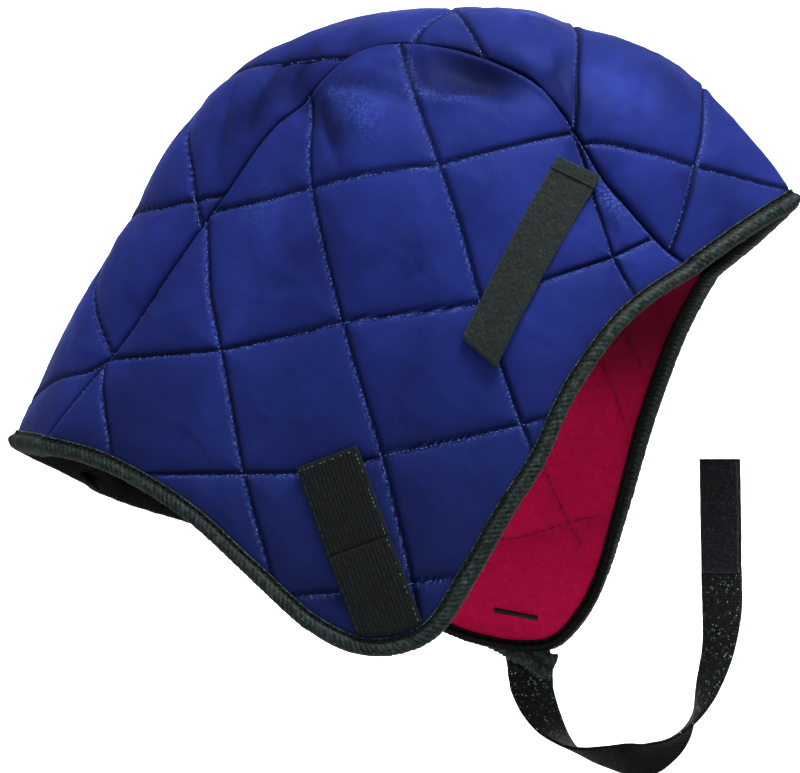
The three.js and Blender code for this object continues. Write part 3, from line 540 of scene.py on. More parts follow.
class Build:
    """Collects grids and tubes into one mesh."""

    def __init__(self):
        self.v, self.f, self.uv, self.m, self.c, self.w, self.count = [], [], [], [], [], [], 0

    def points(self, p, uv=None, crease=None, wear_and_highlight=None):
        p = np.asarray(p, float).reshape(-1, 3)
        first = self.count
        self.v.append(p)
        self.c.append(np.zeros(len(p)) if crease is None else np.asarray(crease, float).ravel())
        self.w.append(np.zeros(len(p)) if wear_and_highlight is None else np.asarray(wear_and_highlight, float).ravel())
        self.uv.append(np.zeros((len(p), 2)) if uv is None else np.asarray(uv, float).reshape(-1, 2))
        self.count += len(p)
        return first

    def faces(self, f, material=0):
        f = f.tolist() if isinstance(f, np.ndarray) else f
        self.f.extend(f)
        self.m.extend([material] * len(f))

    def grid(self, p, uv, flip=False, material=0, wrap_u=False, wrap_v=False, crease=None, wear_and_highlight=None):
        m, n = p.shape[:2]
        a = self.points(p, uv, crease, wear_and_highlight)
        idx = a + np.arange(m * n).reshape(m, n)
        if wrap_u:
            idx = np.concatenate([idx, idx[:1]], 0)
        if wrap_v:
            idx = np.concatenate([idx, idx[:, :1]], 1)
        q = np.stack([idx[:-1, :-1], idx[1:, :-1], idx[1:, 1:], idx[:-1, 1:]], -1).reshape(-1, 4)
        if flip:
            q = q[:, ::-1]
        self.faces(q, material)
        return idx

    def zip(self, fine, coarse, ratio, flip=False, material=0):
        """Closes the gap between the borders of a fine and a coarse grid."""
        def border(g):
            return np.concatenate([g[:-1, 0], g[-1, :-1], g[:0:-1, -1], g[0, :0:-1]])
        a, b = border(fine), border(coarse)
        out = []
        for i in range(len(b)):
            c0, c1 = int(b[i]), int(b[(i + 1) % len(b)])
            for j in range(ratio):
                f0, f1 = int(a[(i * ratio + j) % len(a)]), int(a[(i * ratio + j + 1) % len(a)])
                anchor = c0 if j < ratio // 2 or ratio == 1 else c1
                if ratio > 1 and j == ratio // 2:
                    out.append([f0, c1, c0])
                out.append([f0, f1, anchor])
            if ratio == 1:
                out.append([int(a[(i + 1) % len(a)]), c1, c0])
        if flip:
            out = [t[::-1] for t in out]
        self.faces(out, material)

    def thread(self, centre, along, up, length, radius, material=0, lift=0.0, sides=6):
        """Stitches: short round threads whose ends dip into the cloth."""
        k = len(centre)
        if not k:
            return
        side = unit(np.cross(along, up))
        ts = np.array([-0.5, -0.36, -0.14, 0.14, 0.36, 0.5])
        rs = np.array([0.35, 0.85, 1.0, 1.0, 0.85, 0.35])
        hs = np.array([-1.1, -0.15, 0.25, 0.25, -0.15, -1.1])
        a = np.arange(sides) * 2 * math.pi / sides
        length = np.broadcast_to(np.asarray(length, float), (k,))
        ring = (centre[:, None, None] + along[:, None, None] * (ts[None, :, None, None] * length[:, None, None, None])
                + up[:, None, None] * ((hs * radius)[None, :, None, None] + lift
                                       + (np.sin(a) * radius)[None, None, :, None] * rs[None, :, None, None])
                + side[:, None, None] * (np.cos(a) * radius)[None, None, :, None] * rs[None, :, None, None])
        uv = np.zeros(ring.shape[:3] + (2,))
        uv[..., 0] = ts[None, :, None] * 3
        uv[..., 1] = a[None, None, :] * radius
        first = self.points(ring, uv)
        idx = first + np.arange(k * 6 * sides).reshape(k, 6, sides)
        nxt = np.roll(idx, -1, 2)
        q = np.stack([idx[:, :-1], idx[:, 1:], nxt[:, 1:], nxt[:, :-1]], -1).reshape(-1, 4)
        self.faces(q, material)
        self.faces([list(map(int, r)) for r in idx[:, 0, ::1]], material)
        self.faces([list(map(int, r[::-1])) for r in idx[:, -1]], material)

    def make(self, name, materials, **kw):
        return make(name, np.concatenate(self.v), self.f, materials, uv=np.concatenate(self.uv), face_material=self.m,
                    crease=np.concatenate(self.c), wear_and_highlight=np.concatenate(self.w), **kw)


# ---------------------------------------------------------------------------------------------
# materials
# ---------------------------------------------------------------------------------------------
def lin(r, g, b):
    out = []
    for c in (r, g, b):
        c = c / 255
        out.append(c / 12.92 if c <= 0.04045 else ((c + 0.055) / 1.055) ** 2.4)
    return (*out, 1.0)


class Mat:
    def __init__(self, name, **sockets):
        self.m = bpy.data.materials.new(name)
        self.m.use_nodes = True
        self.t = self.m.node_tree
        self.b = self.t.nodes["Principled BSDF"]
        for key, value in sockets.items():
            self.b.inputs[key.replace("_", " ")].default_value = value
        self.uv = self.t.nodes.new("ShaderNodeUVMap")
        self.uv.uv_map = "UVMap"
        self.obj = self.t.nodes.new("ShaderNodeTexCoord")

    def link(self, a, b):
        self.t.links.new(a, b)

    def coords(self, what="object", scale=(1, 1, 1), turn=0.0):
        n = self.t.nodes.new("ShaderNodeMapping")
        n.inputs["Scale"].default_value = scale
        n.inputs["Rotation"].default_value = (0, 0, math.radians(turn))
        self.link(self.uv.outputs[0] if what == "uv" else self.obj.outputs["Object"], n.inputs["Vector"])
        return n.outputs[0]

    def noise(self, size, detail=2.0, rough=0.5, what="object", stretch=(1, 1, 1), turn=0.0, distort=0.0):
        """size in mm"""
        n = self.t.nodes.new("ShaderNodeTexNoise")
        n.inputs["Scale"].default_value = 1000.0 / size
        n.inputs["Detail"].default_value = detail
        n.inputs["Roughness"].default_value = rough
        n.inputs["Distortion"].default_value = distort
        self.link(self.coords(what, stretch, turn), n.inputs["Vector"])
        return n.outputs["Fac"]

    def wave(self, pitch, direction="X", what="uv", distort=0.0, turn=0.0, detail=1.0):
        """ribs with that pitch in mm"""
        n = self.t.nodes.new("ShaderNodeTexWave")
        n.wave_type, n.bands_direction, n.wave_profile = "BANDS", direction, "SIN"
        n.inputs["Scale"].default_value = 1000.0 / pitch / 20 * 2 * math.pi
        n.inputs["Distortion"].default_value = distort
        n.inputs["Detail"].default_value = detail
        self.link(self.coords(what, (1, 1, 1), turn), n.inputs["Vector"])
        return n.outputs["Fac"]

    def voronoi(self, size, what="object", feature="F1", stretch=(1, 1, 1), rnd=1.0):
        n = self.t.nodes.new("ShaderNodeTexVoronoi")
        n.feature = feature
        n.inputs["Scale"].default_value = 1000.0 / size
        n.inputs["Randomness"].default_value = rnd
        self.link(self.coords(what, stretch), n.inputs["Vector"])
        return n

    def ramp(self, fac, *stops, ease="EASE"):
        n = self.t.nodes.new("ShaderNodeValToRGB")
        n.color_ramp.interpolation = ease
        e = n.color_ramp.elements
        while len(e) < len(stops):
            e.new(0.5)
        for el, (pos, col) in zip(e, stops):
            el.position = pos
            el.color = col if hasattr(col, "__len__") else (col, col, col, 1)
        self.link(fac, n.inputs["Fac"])
        return n.outputs["Color"]

    def attribute(self, name):
        n = self.t.nodes.new("ShaderNodeAttribute")
        n.attribute_name = name
        return n.outputs["Fac"]

    def mix(self, fac, a, b, mode="MIX"):
        n = self.t.nodes.new("ShaderNodeMix")
        n.data_type, n.blend_type = "RGBA", mode
        fac_in = [s for s in n.inputs if s.name == "Factor" and s.type == "VALUE"][0]
        a_in = [s for s in n.inputs if s.name == "A" and s.type == "RGBA"][0]
        b_in = [s for s in n.inputs if s.name == "B" and s.type == "RGBA"][0]
        for sock, value in ((fac_in, fac), (a_in, a), (b_in, b)):
            if isinstance(value, (float, int, tuple)):
                sock.default_value = value
            else:
                self.link(value, sock)
        return [s for s in n.outputs if s.type == "RGBA"][0]

    def math(self, op, a, b=None):
        n = self.t.nodes.new("ShaderNodeMath")
        n.operation = op
        for i, value in enumerate((a, b)):
            if value is None:
                continue
            if isinstance(value, (float, int)):
                n.inputs[i].default_value = value
            else:
                self.link(value, n.inputs[i])
        return n.outputs[0]

    def range(self, fac, lo, hi):
        n = self.t.nodes.new("ShaderNodeMapRange")
        n.inputs["To Min"].default_value = lo
        n.inputs["To Max"].default_value = hi
        self.link(fac, n.inputs["Value"])
        return n.outputs["Result"]

    def bump(self, height, mm, strength=1.0, under=None):
        n = self.t.nodes.new("ShaderNodeBump")
        n.inputs["Distance"].default_value = mm * MM
        n.inputs["Strength"].default_value = strength
        self.link(height, n.inputs["Height"])
        if under is not None:
            self.link(under, n.inputs["Normal"])
        return n.outputs["Normal"]

    def colour(self, c):
        self.link(c, self.b.inputs["Base Color"])

    def rough(self, r):
        self.link(r, self.b.inputs["Roughness"])

    def normal(self, n):
        self.link(n, self.b.inputs["Normal"])


def satin():
    m = Mat("satin", IOR=1.40, Specular_IOR_Level=0.17, Specular_Tint=(0.14, 0.28, 1.0, 1), Sheen_Weight=0.12, Sheen_Roughness=0.35, Sheen_Tint=(0.10, 0.20, 1.0, 1), Anisotropic=0.25)
    big = m.noise(34, 3, 0.55)
    base = m.ramp(big, (0.30, lin(19, 25, 76)), (0.52, lin(26, 35, 98)), (0.76, lin(37, 48, 128)))
    # painted shade: the satin darker towards the bottom of the cap
    high = m.t.nodes.new("ShaderNodeSeparateXYZ")
    m.link(m.obj.outputs["Object"], high.inputs[0])
    down = m.ramp(m.math("MULTIPLY", high.outputs["Z"], -5.0), (0.42, 0.0), (0.94, 0.80))
    base = m.mix(down, base, lin(17, 24, 52))
    slub = m.noise(0.8, 2, 0.6, "uv", (1, 0.22, 1), 8)
    base = m.mix(m.range(slub, 0.0, 0.20), base, lin(46, 62, 150))
    # light wear and painted highlight, speckled, on the lips of the lines, folds and seam rolls
    speck = m.ramp(m.noise(1.0, 2, 0.6), (0.44, 0.0), (0.60, 1.0))
    base = m.mix(m.math("MULTIPLY", m.math("MULTIPLY", m.attribute("wear_and_highlight"), speck), 0.52), base, lin(84, 108, 186))
    # painted shade in the valleys, seams and hollows
    base = m.mix(m.math("MULTIPLY", m.attribute("crease"), 0.90), base, lin(5, 6, 22))
    m.colour(base)
    m.rough(m.range(m.noise(9, 3, 0.6), 0.50, 0.64))
    twill = m.wave(0.6, "DIAGONAL", "uv", 0.8)
    n = m.bump(twill, 0.02, 0.4)
    n = m.bump(m.noise(0.9, 3, 0.65), 0.07, 0.6, n)
    n = m.bump(m.noise(3.2, 3, 0.6, "uv", (1, 0.5, 1)), 0.16, 0.5, n)
    m.normal(n)
    return m.m


def thread(name, colour, light, rough=0.45):
    m = Mat(name, Specular_IOR_Level=0.25, Sheen_Weight=0.03, Sheen_Roughness=0.4)
    m.colour(m.ramp(m.noise(2.2, 2, 0.6), (0.35, lin(*colour)), (0.7, lin(*light))))
    m.rough(m.range(m.noise(0.8, 2), rough - 0.08, rough + 0.12))
    m.normal(m.bump(m.wave(0.35, "DIAGONAL", "uv"), 0.05, 0.8))
    return m.m


def fleece():
    m = Mat("fleece", Specular_IOR_Level=0.1, Sheen_Weight=0.18, Sheen_Roughness=0.5, Sheen_Tint=(1.0, 0.10, 0.28, 1))
    tuft = m.noise(2.4, 4, 0.7, distort=0.6)
    base = m.ramp(tuft, (0.25, lin(180, 12, 66)), (0.52, lin(205, 17, 77)), (0.80, lin(225, 30, 95)))
    wide = m.noise(26, 2, 0.5)
    base = m.mix(m.range(wide, 0.0, 0.40), base, lin(130, 4, 46))
    # painted shade: the fleece darker towards the top, deep inside the crown
    high = m.t.nodes.new("ShaderNodeSeparateXYZ")
    m.link(m.obj.outputs["Object"], high.inputs[0])
    up = m.ramp(m.math("ADD", m.math("MULTIPLY", high.outputs["Z"], 10.0), 2.0), (0.66, 0.0), (1.0, 0.74))
    base = m.mix(up, base, lin(38, 6, 20))
    m.colour(base)
    m.rough(m.range(m.noise(3, 2), 0.86, 1.0))
    n = m.bump(tuft, 0.35, 0.6)
    n = m.bump(m.noise(0.55, 3, 0.75), 0.22, 0.8, n)
    m.normal(n)
    return m.m


def ribbed_tape():
    m = Mat("binding", Specular_IOR_Level=0.08, Sheen_Weight=0.01, Sheen_Roughness=0.35, Sheen_Tint=(0.8, 1.0, 0.95, 1))
    # mottle of the tape: partly wear, its light tones partly painted highlight
    wear_and_highlight = m.noise(1.6, 3, 0.6)
    base = m.ramp(wear_and_highlight, (0.36, lin(29, 38, 37)), (0.60, lin(52, 65, 62)), (0.80, lin(98, 118, 110)))
    # painted shade in the rib grooves, in the valley beside the cloth and over the inner half of the tape
    base = m.mix(m.attribute("crease"), base, lin(3, 4, 5))
    m.colour(base)
    m.rough(m.range(m.noise(1.6, 3), 0.34, 0.60))
    fine = m.noise(0.45, 2, 0.6, "uv", (1, 0.4, 1), 32)
    m.normal(m.bump(fine, 0.10, 0.8))
    return m.m


def loop_tape():
    m = Mat("loop_tape", Specular_IOR_Level=0.12, Sheen_Weight=0.10, Sheen_Roughness=0.5, Sheen_Tint=(0.85, 1.0, 0.9, 1))
    fuzz = m.noise(0.8, 4, 0.75, distort=0.8)
    base = m.ramp(fuzz, (0.34, lin(15, 20, 20)), (0.52, lin(25, 31, 31)), (0.70, lin(50, 60, 57)))
    m.colour(base)
    m.rough(m.range(fuzz, 0.7, 0.95))
    n = m.bump(fuzz, 0.30, 0.8)
    m.normal(m.bump(m.voronoi(1.1).outputs["Distance"], 0.2, 0.5, n))
    return m.m


def black_tape():
    m = Mat("black_tape", Specular_IOR_Level=0.12, Sheen_Weight=0.04, Sheen_Roughness=0.4)
    rib = m.wave(1.35, "X", "uv", 1.6, detail=2.0)
    speck = m.noise(0.7, 3, 0.7)
    base = m.ramp(speck, (0.38, lin(9, 13, 14)), (0.60, lin(20, 26, 26)), (0.80, lin(48, 56, 54)))
    base = m.mix(m.range(rib, 0.45, 0.0), base, lin(7, 10, 11))
    m.colour(base)
    m.rough(m.range(speck, 0.62, 0.85))
    n = m.bump(rib, 0.22, 0.7)
    m.normal(m.bump(speck, 0.25, 0.8, n))
    return m.m


def strap_weave(name, pitch, dots):
    m = Mat(name, Specular_IOR_Level=0.12 if dots else 0.05, Sheen_Weight=0.0, Sheen_Roughness=0.35)
    rib = m.wave(pitch, "Y", "uv", 0.5)
    warp = m.wave(0.95, "X", "uv", 0.6)
    tones = ((9, 13, 13), (27, 34, 33), (54, 65, 61)) if dots else ((6, 9, 9), (15, 20, 19), (34, 43, 40))
    base = m.ramp(m.noise(1.4, 3, 0.65, "uv"), (0.36, lin(*tones[0])), (0.60, lin(*tones[1])), (0.80, lin(*tones[2])))
    base = m.mix(m.range(rib, 0.5, 0.0), base, lin(6, 9, 9))
    # painted glints: light specks where the loop pile catches light
    if dots:
        cell = m.voronoi(1.05, "uv")
        spot = m.ramp(cell.outputs["Distance"], (0.16, 1.0), (0.34, 0.0))
        some = m.ramp(m.noise(1.9, 2, 0.6, "uv"), (0.47, 0.0), (0.60, 1.0))
        base = m.mix(m.math("MULTIPLY", spot, some), base, lin(150, 172, 162))
    m.colour(base)
    m.rough(m.range(m.noise(1.2, 2, 0.5, "uv"), 0.48, 0.72))
    n = m.bump(rib, 0.22 if dots else 0.34, 0.9)
    n = m.bump(warp, 0.18, 0.7, n)
    m.normal(m.bump(m.noise(0.8, 3, 0.7, "uv"), 0.30 if dots else 0.12, 0.8, n))
    return m.m


def hook_tape():
    m = Mat("hook_tape", Specular_IOR_Level=0.22, Coat_Weight=0.03, Coat_Roughness=0.3)
    base = m.ramp(m.noise(1.0, 3, 0.65), (0.38, lin(9, 13, 15)), (0.58, lin(25, 34, 37)), (0.76, lin(74, 90, 94)))
    m.colour(base)
    m.rough(m.range(m.noise(1.0, 2), 0.26, 0.46))
    m.normal(m.bump(m.noise(0.5, 2, 0.7), 0.12, 0.7))
    return m.m


SATIN, FLEECE, BINDING, LOOP, BLACK, HOOK = satin(), fleece(), ribbed_tape(), loop_tape(), black_tape(), hook_tape()
WEBBING, FUZZY = strap_weave("webbing", 1.15, False), strap_weave("webbing_face", 1.0, True)
BLUE_THREAD = thread("quilt_thread", (34, 48, 120), (96, 120, 196))
RED_THREAD = thread("lining_thread", (84, 6, 30), (112, 14, 44))
BLACK_THREAD = thread("black_thread", (8, 10, 11), (26, 31, 31))
PALE_THREAD = thread("tape_thread", (64, 78, 84), (112, 128, 134))

# ---------------------------------------------------------------------------------------------
# panels
# ---------------------------------------------------------------------------------------------
U_END = 0.05


def row_lengths(p):
    """Distance along axis 1 from its start, for a grid of points."""
    return np.concatenate([np.zeros((p.shape[0], 1)), np.cumsum(np.linalg.norm(np.diff(p, axis=1), axis=-1), axis=1)], 1)


def col_lengths(p):
    return np.concatenate([np.zeros((1, p.shape[1])), np.cumsum(np.linalg.norm(np.diff(p, axis=0), axis=-1), axis=0)], 0)


def panel_grid(name, nu, nv):
    u = np.linspace(U_END, LAST - U_END, nu + 1)
    v = np.linspace(-1, 1, nv + 1) if name == "band" else np.linspace(0, 1, nv + 1)
    uu, vv = np.meshgrid(u, v, indexing="ij")
    p, n = surface(name, uu, vv)
    across, along = row_lengths(p), col_lengths(p)
    total = across[:, -1:]
    if name == "band":
        seam = np.minimum(across, total - across)
        end = np.minimum(along, along[-1:] - along)
        return p, n, seam, end, np.stack([along[:, nv // 2:nv // 2 + 1] + 0 * across, across - total / 2], -1)
    mid = along[:, nv // 3:nv // 3 + 1]
    return p, n, across, total - across, np.stack([mid + 0 * across, across], -1)


def chance(centre, seed):
    """Numbers from 0 to 1, one a place, the same each run."""
    c = np.round(centre * 7).astype(np.int64) + 20000
    return (lattice(c[:, 0], c[:, 1], c[:, 2], seed) + 1) / 2


def stitches(b, name, surface_height, material, pitch, length, radius, lift, flip=1, skip_rim=9.0, off=0.0, drop=0.0, sides=6):
    """Threads along the panel's quilting lines, on a surface at surface_height over the plain one."""
    q = QUILT[name]
    centres, along, ups = [], [], []
    for a, z in q.runs:
        total = q.s[z - 1]
        at = np.arange(pitch * 0.5, total - pitch * 0.4, pitch)
        for arr, out in ((q.p, centres), (q.t, along), (q.n, ups)):
            out.append(np.stack([np.interp(at, q.s[a:z], arr[a:z, i]) for i in range(3)], -1))
    c, t, n = np.concatenate(centres), unit(np.concatenate(along)), unit(np.concatenate(ups))
    keep = (rim_distance(c) > skip_rim) & (chance(c, 5) >= drop)
    c, t, n = c[keep], t[keep], n[keep]
    side = unit(np.cross(t, n))
    low = np.where(side[:, 2:3] + 0.5 * side[:, 0:1] < 0, side, -side)
    length = length * (0.75 + 0.5 * chance(c, 6))
    c = c + n * (surface_height + 0.10 * chance(c, 7) - 0.05)[:, None] + low * (off + 0.3 * chance(c, 8) - 0.15)[:, None]
    b.thread(c, t, n * flip, length, radius, material, lift, sides=sides)


# the rim as one closed line of points, evenly spaced
def rim_line(step):
    one = np.ones(400)
    ub = np.linspace(U_END, LAST - U_END, 400)
    wb = np.linspace(-1, 1, 200)
    parts = [("right", ub, one), ("band", np.full(200, float(LAST)), wb), ("left", ub[::-1], one), ("band", np.zeros(200), wb[::-1])]
    p, n = [], []
    for name, u, v in parts:
        a, b = surface(name, np.clip(u, 0.03, LAST - 0.03), v)
        p.append(a)
        n.append(b)
    p, n = np.concatenate(p), np.concatenate(n)
    # soften the corners where panels meet
    for _ in range(3):
        p[:] = (np.roll(p, 1, 0) + 2 * p + np.roll(p, -1, 0)) / 4
        n[:] = unit(np.roll(n, 1, 0) + 2 * n + np.roll(n, -1, 0))
    q = np.concatenate([p, p[:1]])
    m = np.concatenate([n, n[:1]])
    s = np.concatenate([[0], np.cumsum(np.linalg.norm(np.diff(q, axis=0), axis=1))])
    count = int(round(s[-1] / step))
    at = np.arange(count) * s[-1] / count
    p = np.stack([np.interp(at, s, q[:, i]) for i in range(3)], -1)
    n = unit(np.stack([np.interp(at, s, m[:, i]) for i in range(3)], -1))
    for _ in range(10):
        p = (np.roll(p, 1, 0) + 2 * p + np.roll(p, -1, 0)) / 4
    for _ in range(160):
        n = unit(np.roll(n, 1, 0) + 2 * n + np.roll(n, -1, 0))
    t = unit(np.roll(p, -2, 0) - np.roll(p, 2, 0))
    for _ in range(20):
        t = unit(np.roll(t, 1, 0) + 2 * t + np.roll(t, -1, 0))
    n = unit(n - t * (n * t).sum(-1, keepdims=True))
    return p, n, t, at, s[-1]


RIM_P, RIM_N, RIM_T, RIM_S, RIM_LENGTH = rim_line(0.48)
rim_tree = KDTree(len(RIM_P) // 2 + 1)
for i in range(0, len(RIM_P), 2):
    rim_tree.insert(RIM_P[i], i)
rim_tree.balance()


def rim_distance(points):
    flat = points.reshape(-1, 3)
    return np.array([rim_tree.find(q)[2] for q in flat]).reshape(points.shape[:-1])


COARSE = {}


def make_panel(name, nu, nv, ratio, seed):
    p, n, seam, _, uv = panel_grid(name, nu, nv)
    rim = rim_distance(p)
    row = np.linspace(U_END, LAST - U_END, p.shape[0])[:, None] + 0 * rim
    h, crease, wear_and_highlight = puff(name, p, n, seam, rim, seed, row)
    # keep each panel just off its neighbour at the seams, as the CAD panels are
    top = p + n * h[..., None]
    back = p[::ratio, ::ratio] - n[::ratio, ::ratio] * (OUTER_THICK - 0.05)
    pull = 0.03
    for grid in (top, back):
        ends = (0, -1) if name == "band" else (0,)
        for e in ends:
            inner = grid[:, 1] if e == 0 else grid[:, -2]
            grid[:, e] += unit(inner - grid[:, e]) * min(pull, 1.0)
    b = Build()
    fine = b.grid(top, uv, crease=crease, wear_and_highlight=wear_and_highlight)
    coarse = b.grid(back, uv[::ratio, ::ratio], flip=True)
    b.zip(fine, coarse, ratio, flip=True)
    stitches(b, name, -1.05, 1, 1.55, 1.0, 0.16, 0.02, off=0.62, drop=0.30, sides=4)
    if name != "band":
        # small stitches along the panel's edge at the seam
        u = np.linspace(0.3, LAST - 0.3, 1200)
        c, nn = surface(name, u, np.clip(1.7 / np.maximum(np.interp(u, np.linspace(U_END, LAST - U_END, p.shape[0]), row_lengths(p)[:, -1]), 3.0), 0, 1))
        run = np.concatenate([[0], np.cumsum(np.linalg.norm(np.diff(c, axis=0), axis=1))])
        at = np.arange(2.0, run[-1] - 2, 1.9)
        c = np.stack([np.interp(at, run, c[:, i]) for i in range(3)], -1)
        nn = unit(np.stack([np.interp(at, run, nn[:, i]) for i in range(3)], -1))
        keep = (rim_distance(c) > 9) & (chance(c, 9) > 0.35)
        tt = unit(np.gradient(c, axis=0))
        b.thread((c - nn * 0.80)[keep], tt[keep], nn[keep], 1.1, 0.15, 1, 0.02, sides=4)
    COARSE[name] = (p[::ratio, ::ratio], n[::ratio, ::ratio])
    return b.make(name + "_shell_cloth", [SATIN, BLUE_THREAD])


def make_lining(name, nu, nv, ratio, seed):
    p, n, seam, _, uv = panel_grid(name, nu, nv)
    rim = rim_distance(p)
    d, s, side, line, _ = QUILT[name].near(p)
    near = 1 - np.exp(-(d / 1.8) ** 1.3)
    wide = 1 - np.exp(-(d / 7.0) ** 1.5)
    seams = 1 - np.exp(-(seam / 2.2) ** 1.3)
    h = 0.75 * (1 - np.minimum(near, seams)) + 0.40 * (1 - wide)
    h -= 0.35 * np.exp(-d / 6.0) * wide * noise1((s + side * 31 + line * 77) / 6.0, seed)
    h -= (0.30 * noise(p, 17, seed + 1) + 0.13 * noise(p, 3.6, seed + 2) + 0.09 * noise(p, 1.9, seed + 3)) * smooth(3, 9, rim)
    hold = smooth(3.0, 9.0, rim)
    depth = WALL - 0.10 - h * hold - 0.35 * (1 - hold)
    inner = p - n * depth[..., None]
    outer = p[::ratio, ::ratio] - n[::ratio, ::ratio] * (OUTER_THICK + GAP)
    for grid in (inner, outer):
        for e in ((0, -1) if name == "band" else (0,)):
            nxt = grid[:, 1] if e == 0 else grid[:, -2]
            grid[:, e] += unit(nxt - grid[:, e]) * 0.2
    b = Build()
    fine = b.grid(inner, uv, flip=True)
    coarse = b.grid(outer, uv[::ratio, ::ratio])
    b.zip(fine, coarse, ratio)
    stitches(b, name, -(WALL - 0.55), 1, 3.1, 2.2, 0.22, 0.0, flip=-1, off=0.0)
    return b


scale = 1.0
NU, NS, NB = ((340, 150, 140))
for seed, (name, nv) in enumerate((("right", NS), ("left", NS), ("band", NB))):
    ratio = 5
    nv = nv - nv % ratio
    obj = make_panel(name, NU - NU % ratio, nv, ratio, 11 + 20 * seed)
    place(obj, "satin", name + "_shell")

for seed, (name, nv) in enumerate((("right", 90), ("left", 110), ("band", 80))):
    b = make_lining(name, 220 if name != "band" else 200, nv, 5, 111 + 20 * seed)
    if name == "left":
        # the strap's stitches come through the fleece as one short black bar
        c0, n0 = surface("left", np.array([9.60, 9.03]), np.array([.935, .95]))
        k = 34
        f = np.linspace(0, 1, k)[:, None]
        pc = c0[0] * (1 - f) + c0[1] * f
        run = unit((c0[1] - c0[0])[None])
        nn = unit(n0[0] * (1 - f) + n0[1] * f)
        slant = unit(np.cross(nn, run) + run * 0.30)
        b.thread(pc - nn * (WALL - 0.35), slant, -nn, 1.9, 0.36, 2, 0.2)
    obj = b.make(name + "_lining_fleece", [FLEECE, RED_THREAD, BLACK_THREAD])
    place(obj, "fleece", name + "_lining")

# ---------------------------------------------------------------------------------------------
# rim binding
# ---------------------------------------------------------------------------------------------
near_tree_p = np.concatenate([COARSE[k][0].reshape(-1, 3) for k in ("right", "left", "band")])
near_tree_n = np.concatenate([COARSE[k][1].reshape(-1, 3) for k in ("right", "left", "band")])
cap_tree = KDTree(len(near_tree_p))
for i, q in enumerate(near_tree_p):
    cap_tree.insert(q, i)
cap_tree.balance()


def on_cap(q):
    """q moved onto the cap's plain outer surface, and the normal there."""
    flat = q.reshape(-1, 3)
    p, n = np.zeros_like(flat), np.zeros_like(flat)
    for i, x in enumerate(flat):
        near = cap_tree.find_n(x, 3)
        w = np.array([1 / (1e-3 + f[2] ** 2) for f in near])
        w /= w.sum()
        nn = sum(wi * near_tree_n[f[1]] for wi, f in zip(w, near))
        nn /= np.linalg.norm(nn)
        off = sum(wi * float((x - near_tree_p[f[1]]) @ near_tree_n[f[1]]) for wi, f in zip(w, near))
        p[i], n[i] = x - nn * off, nn
    return p.reshape(q.shape), n.reshape(q.shape)


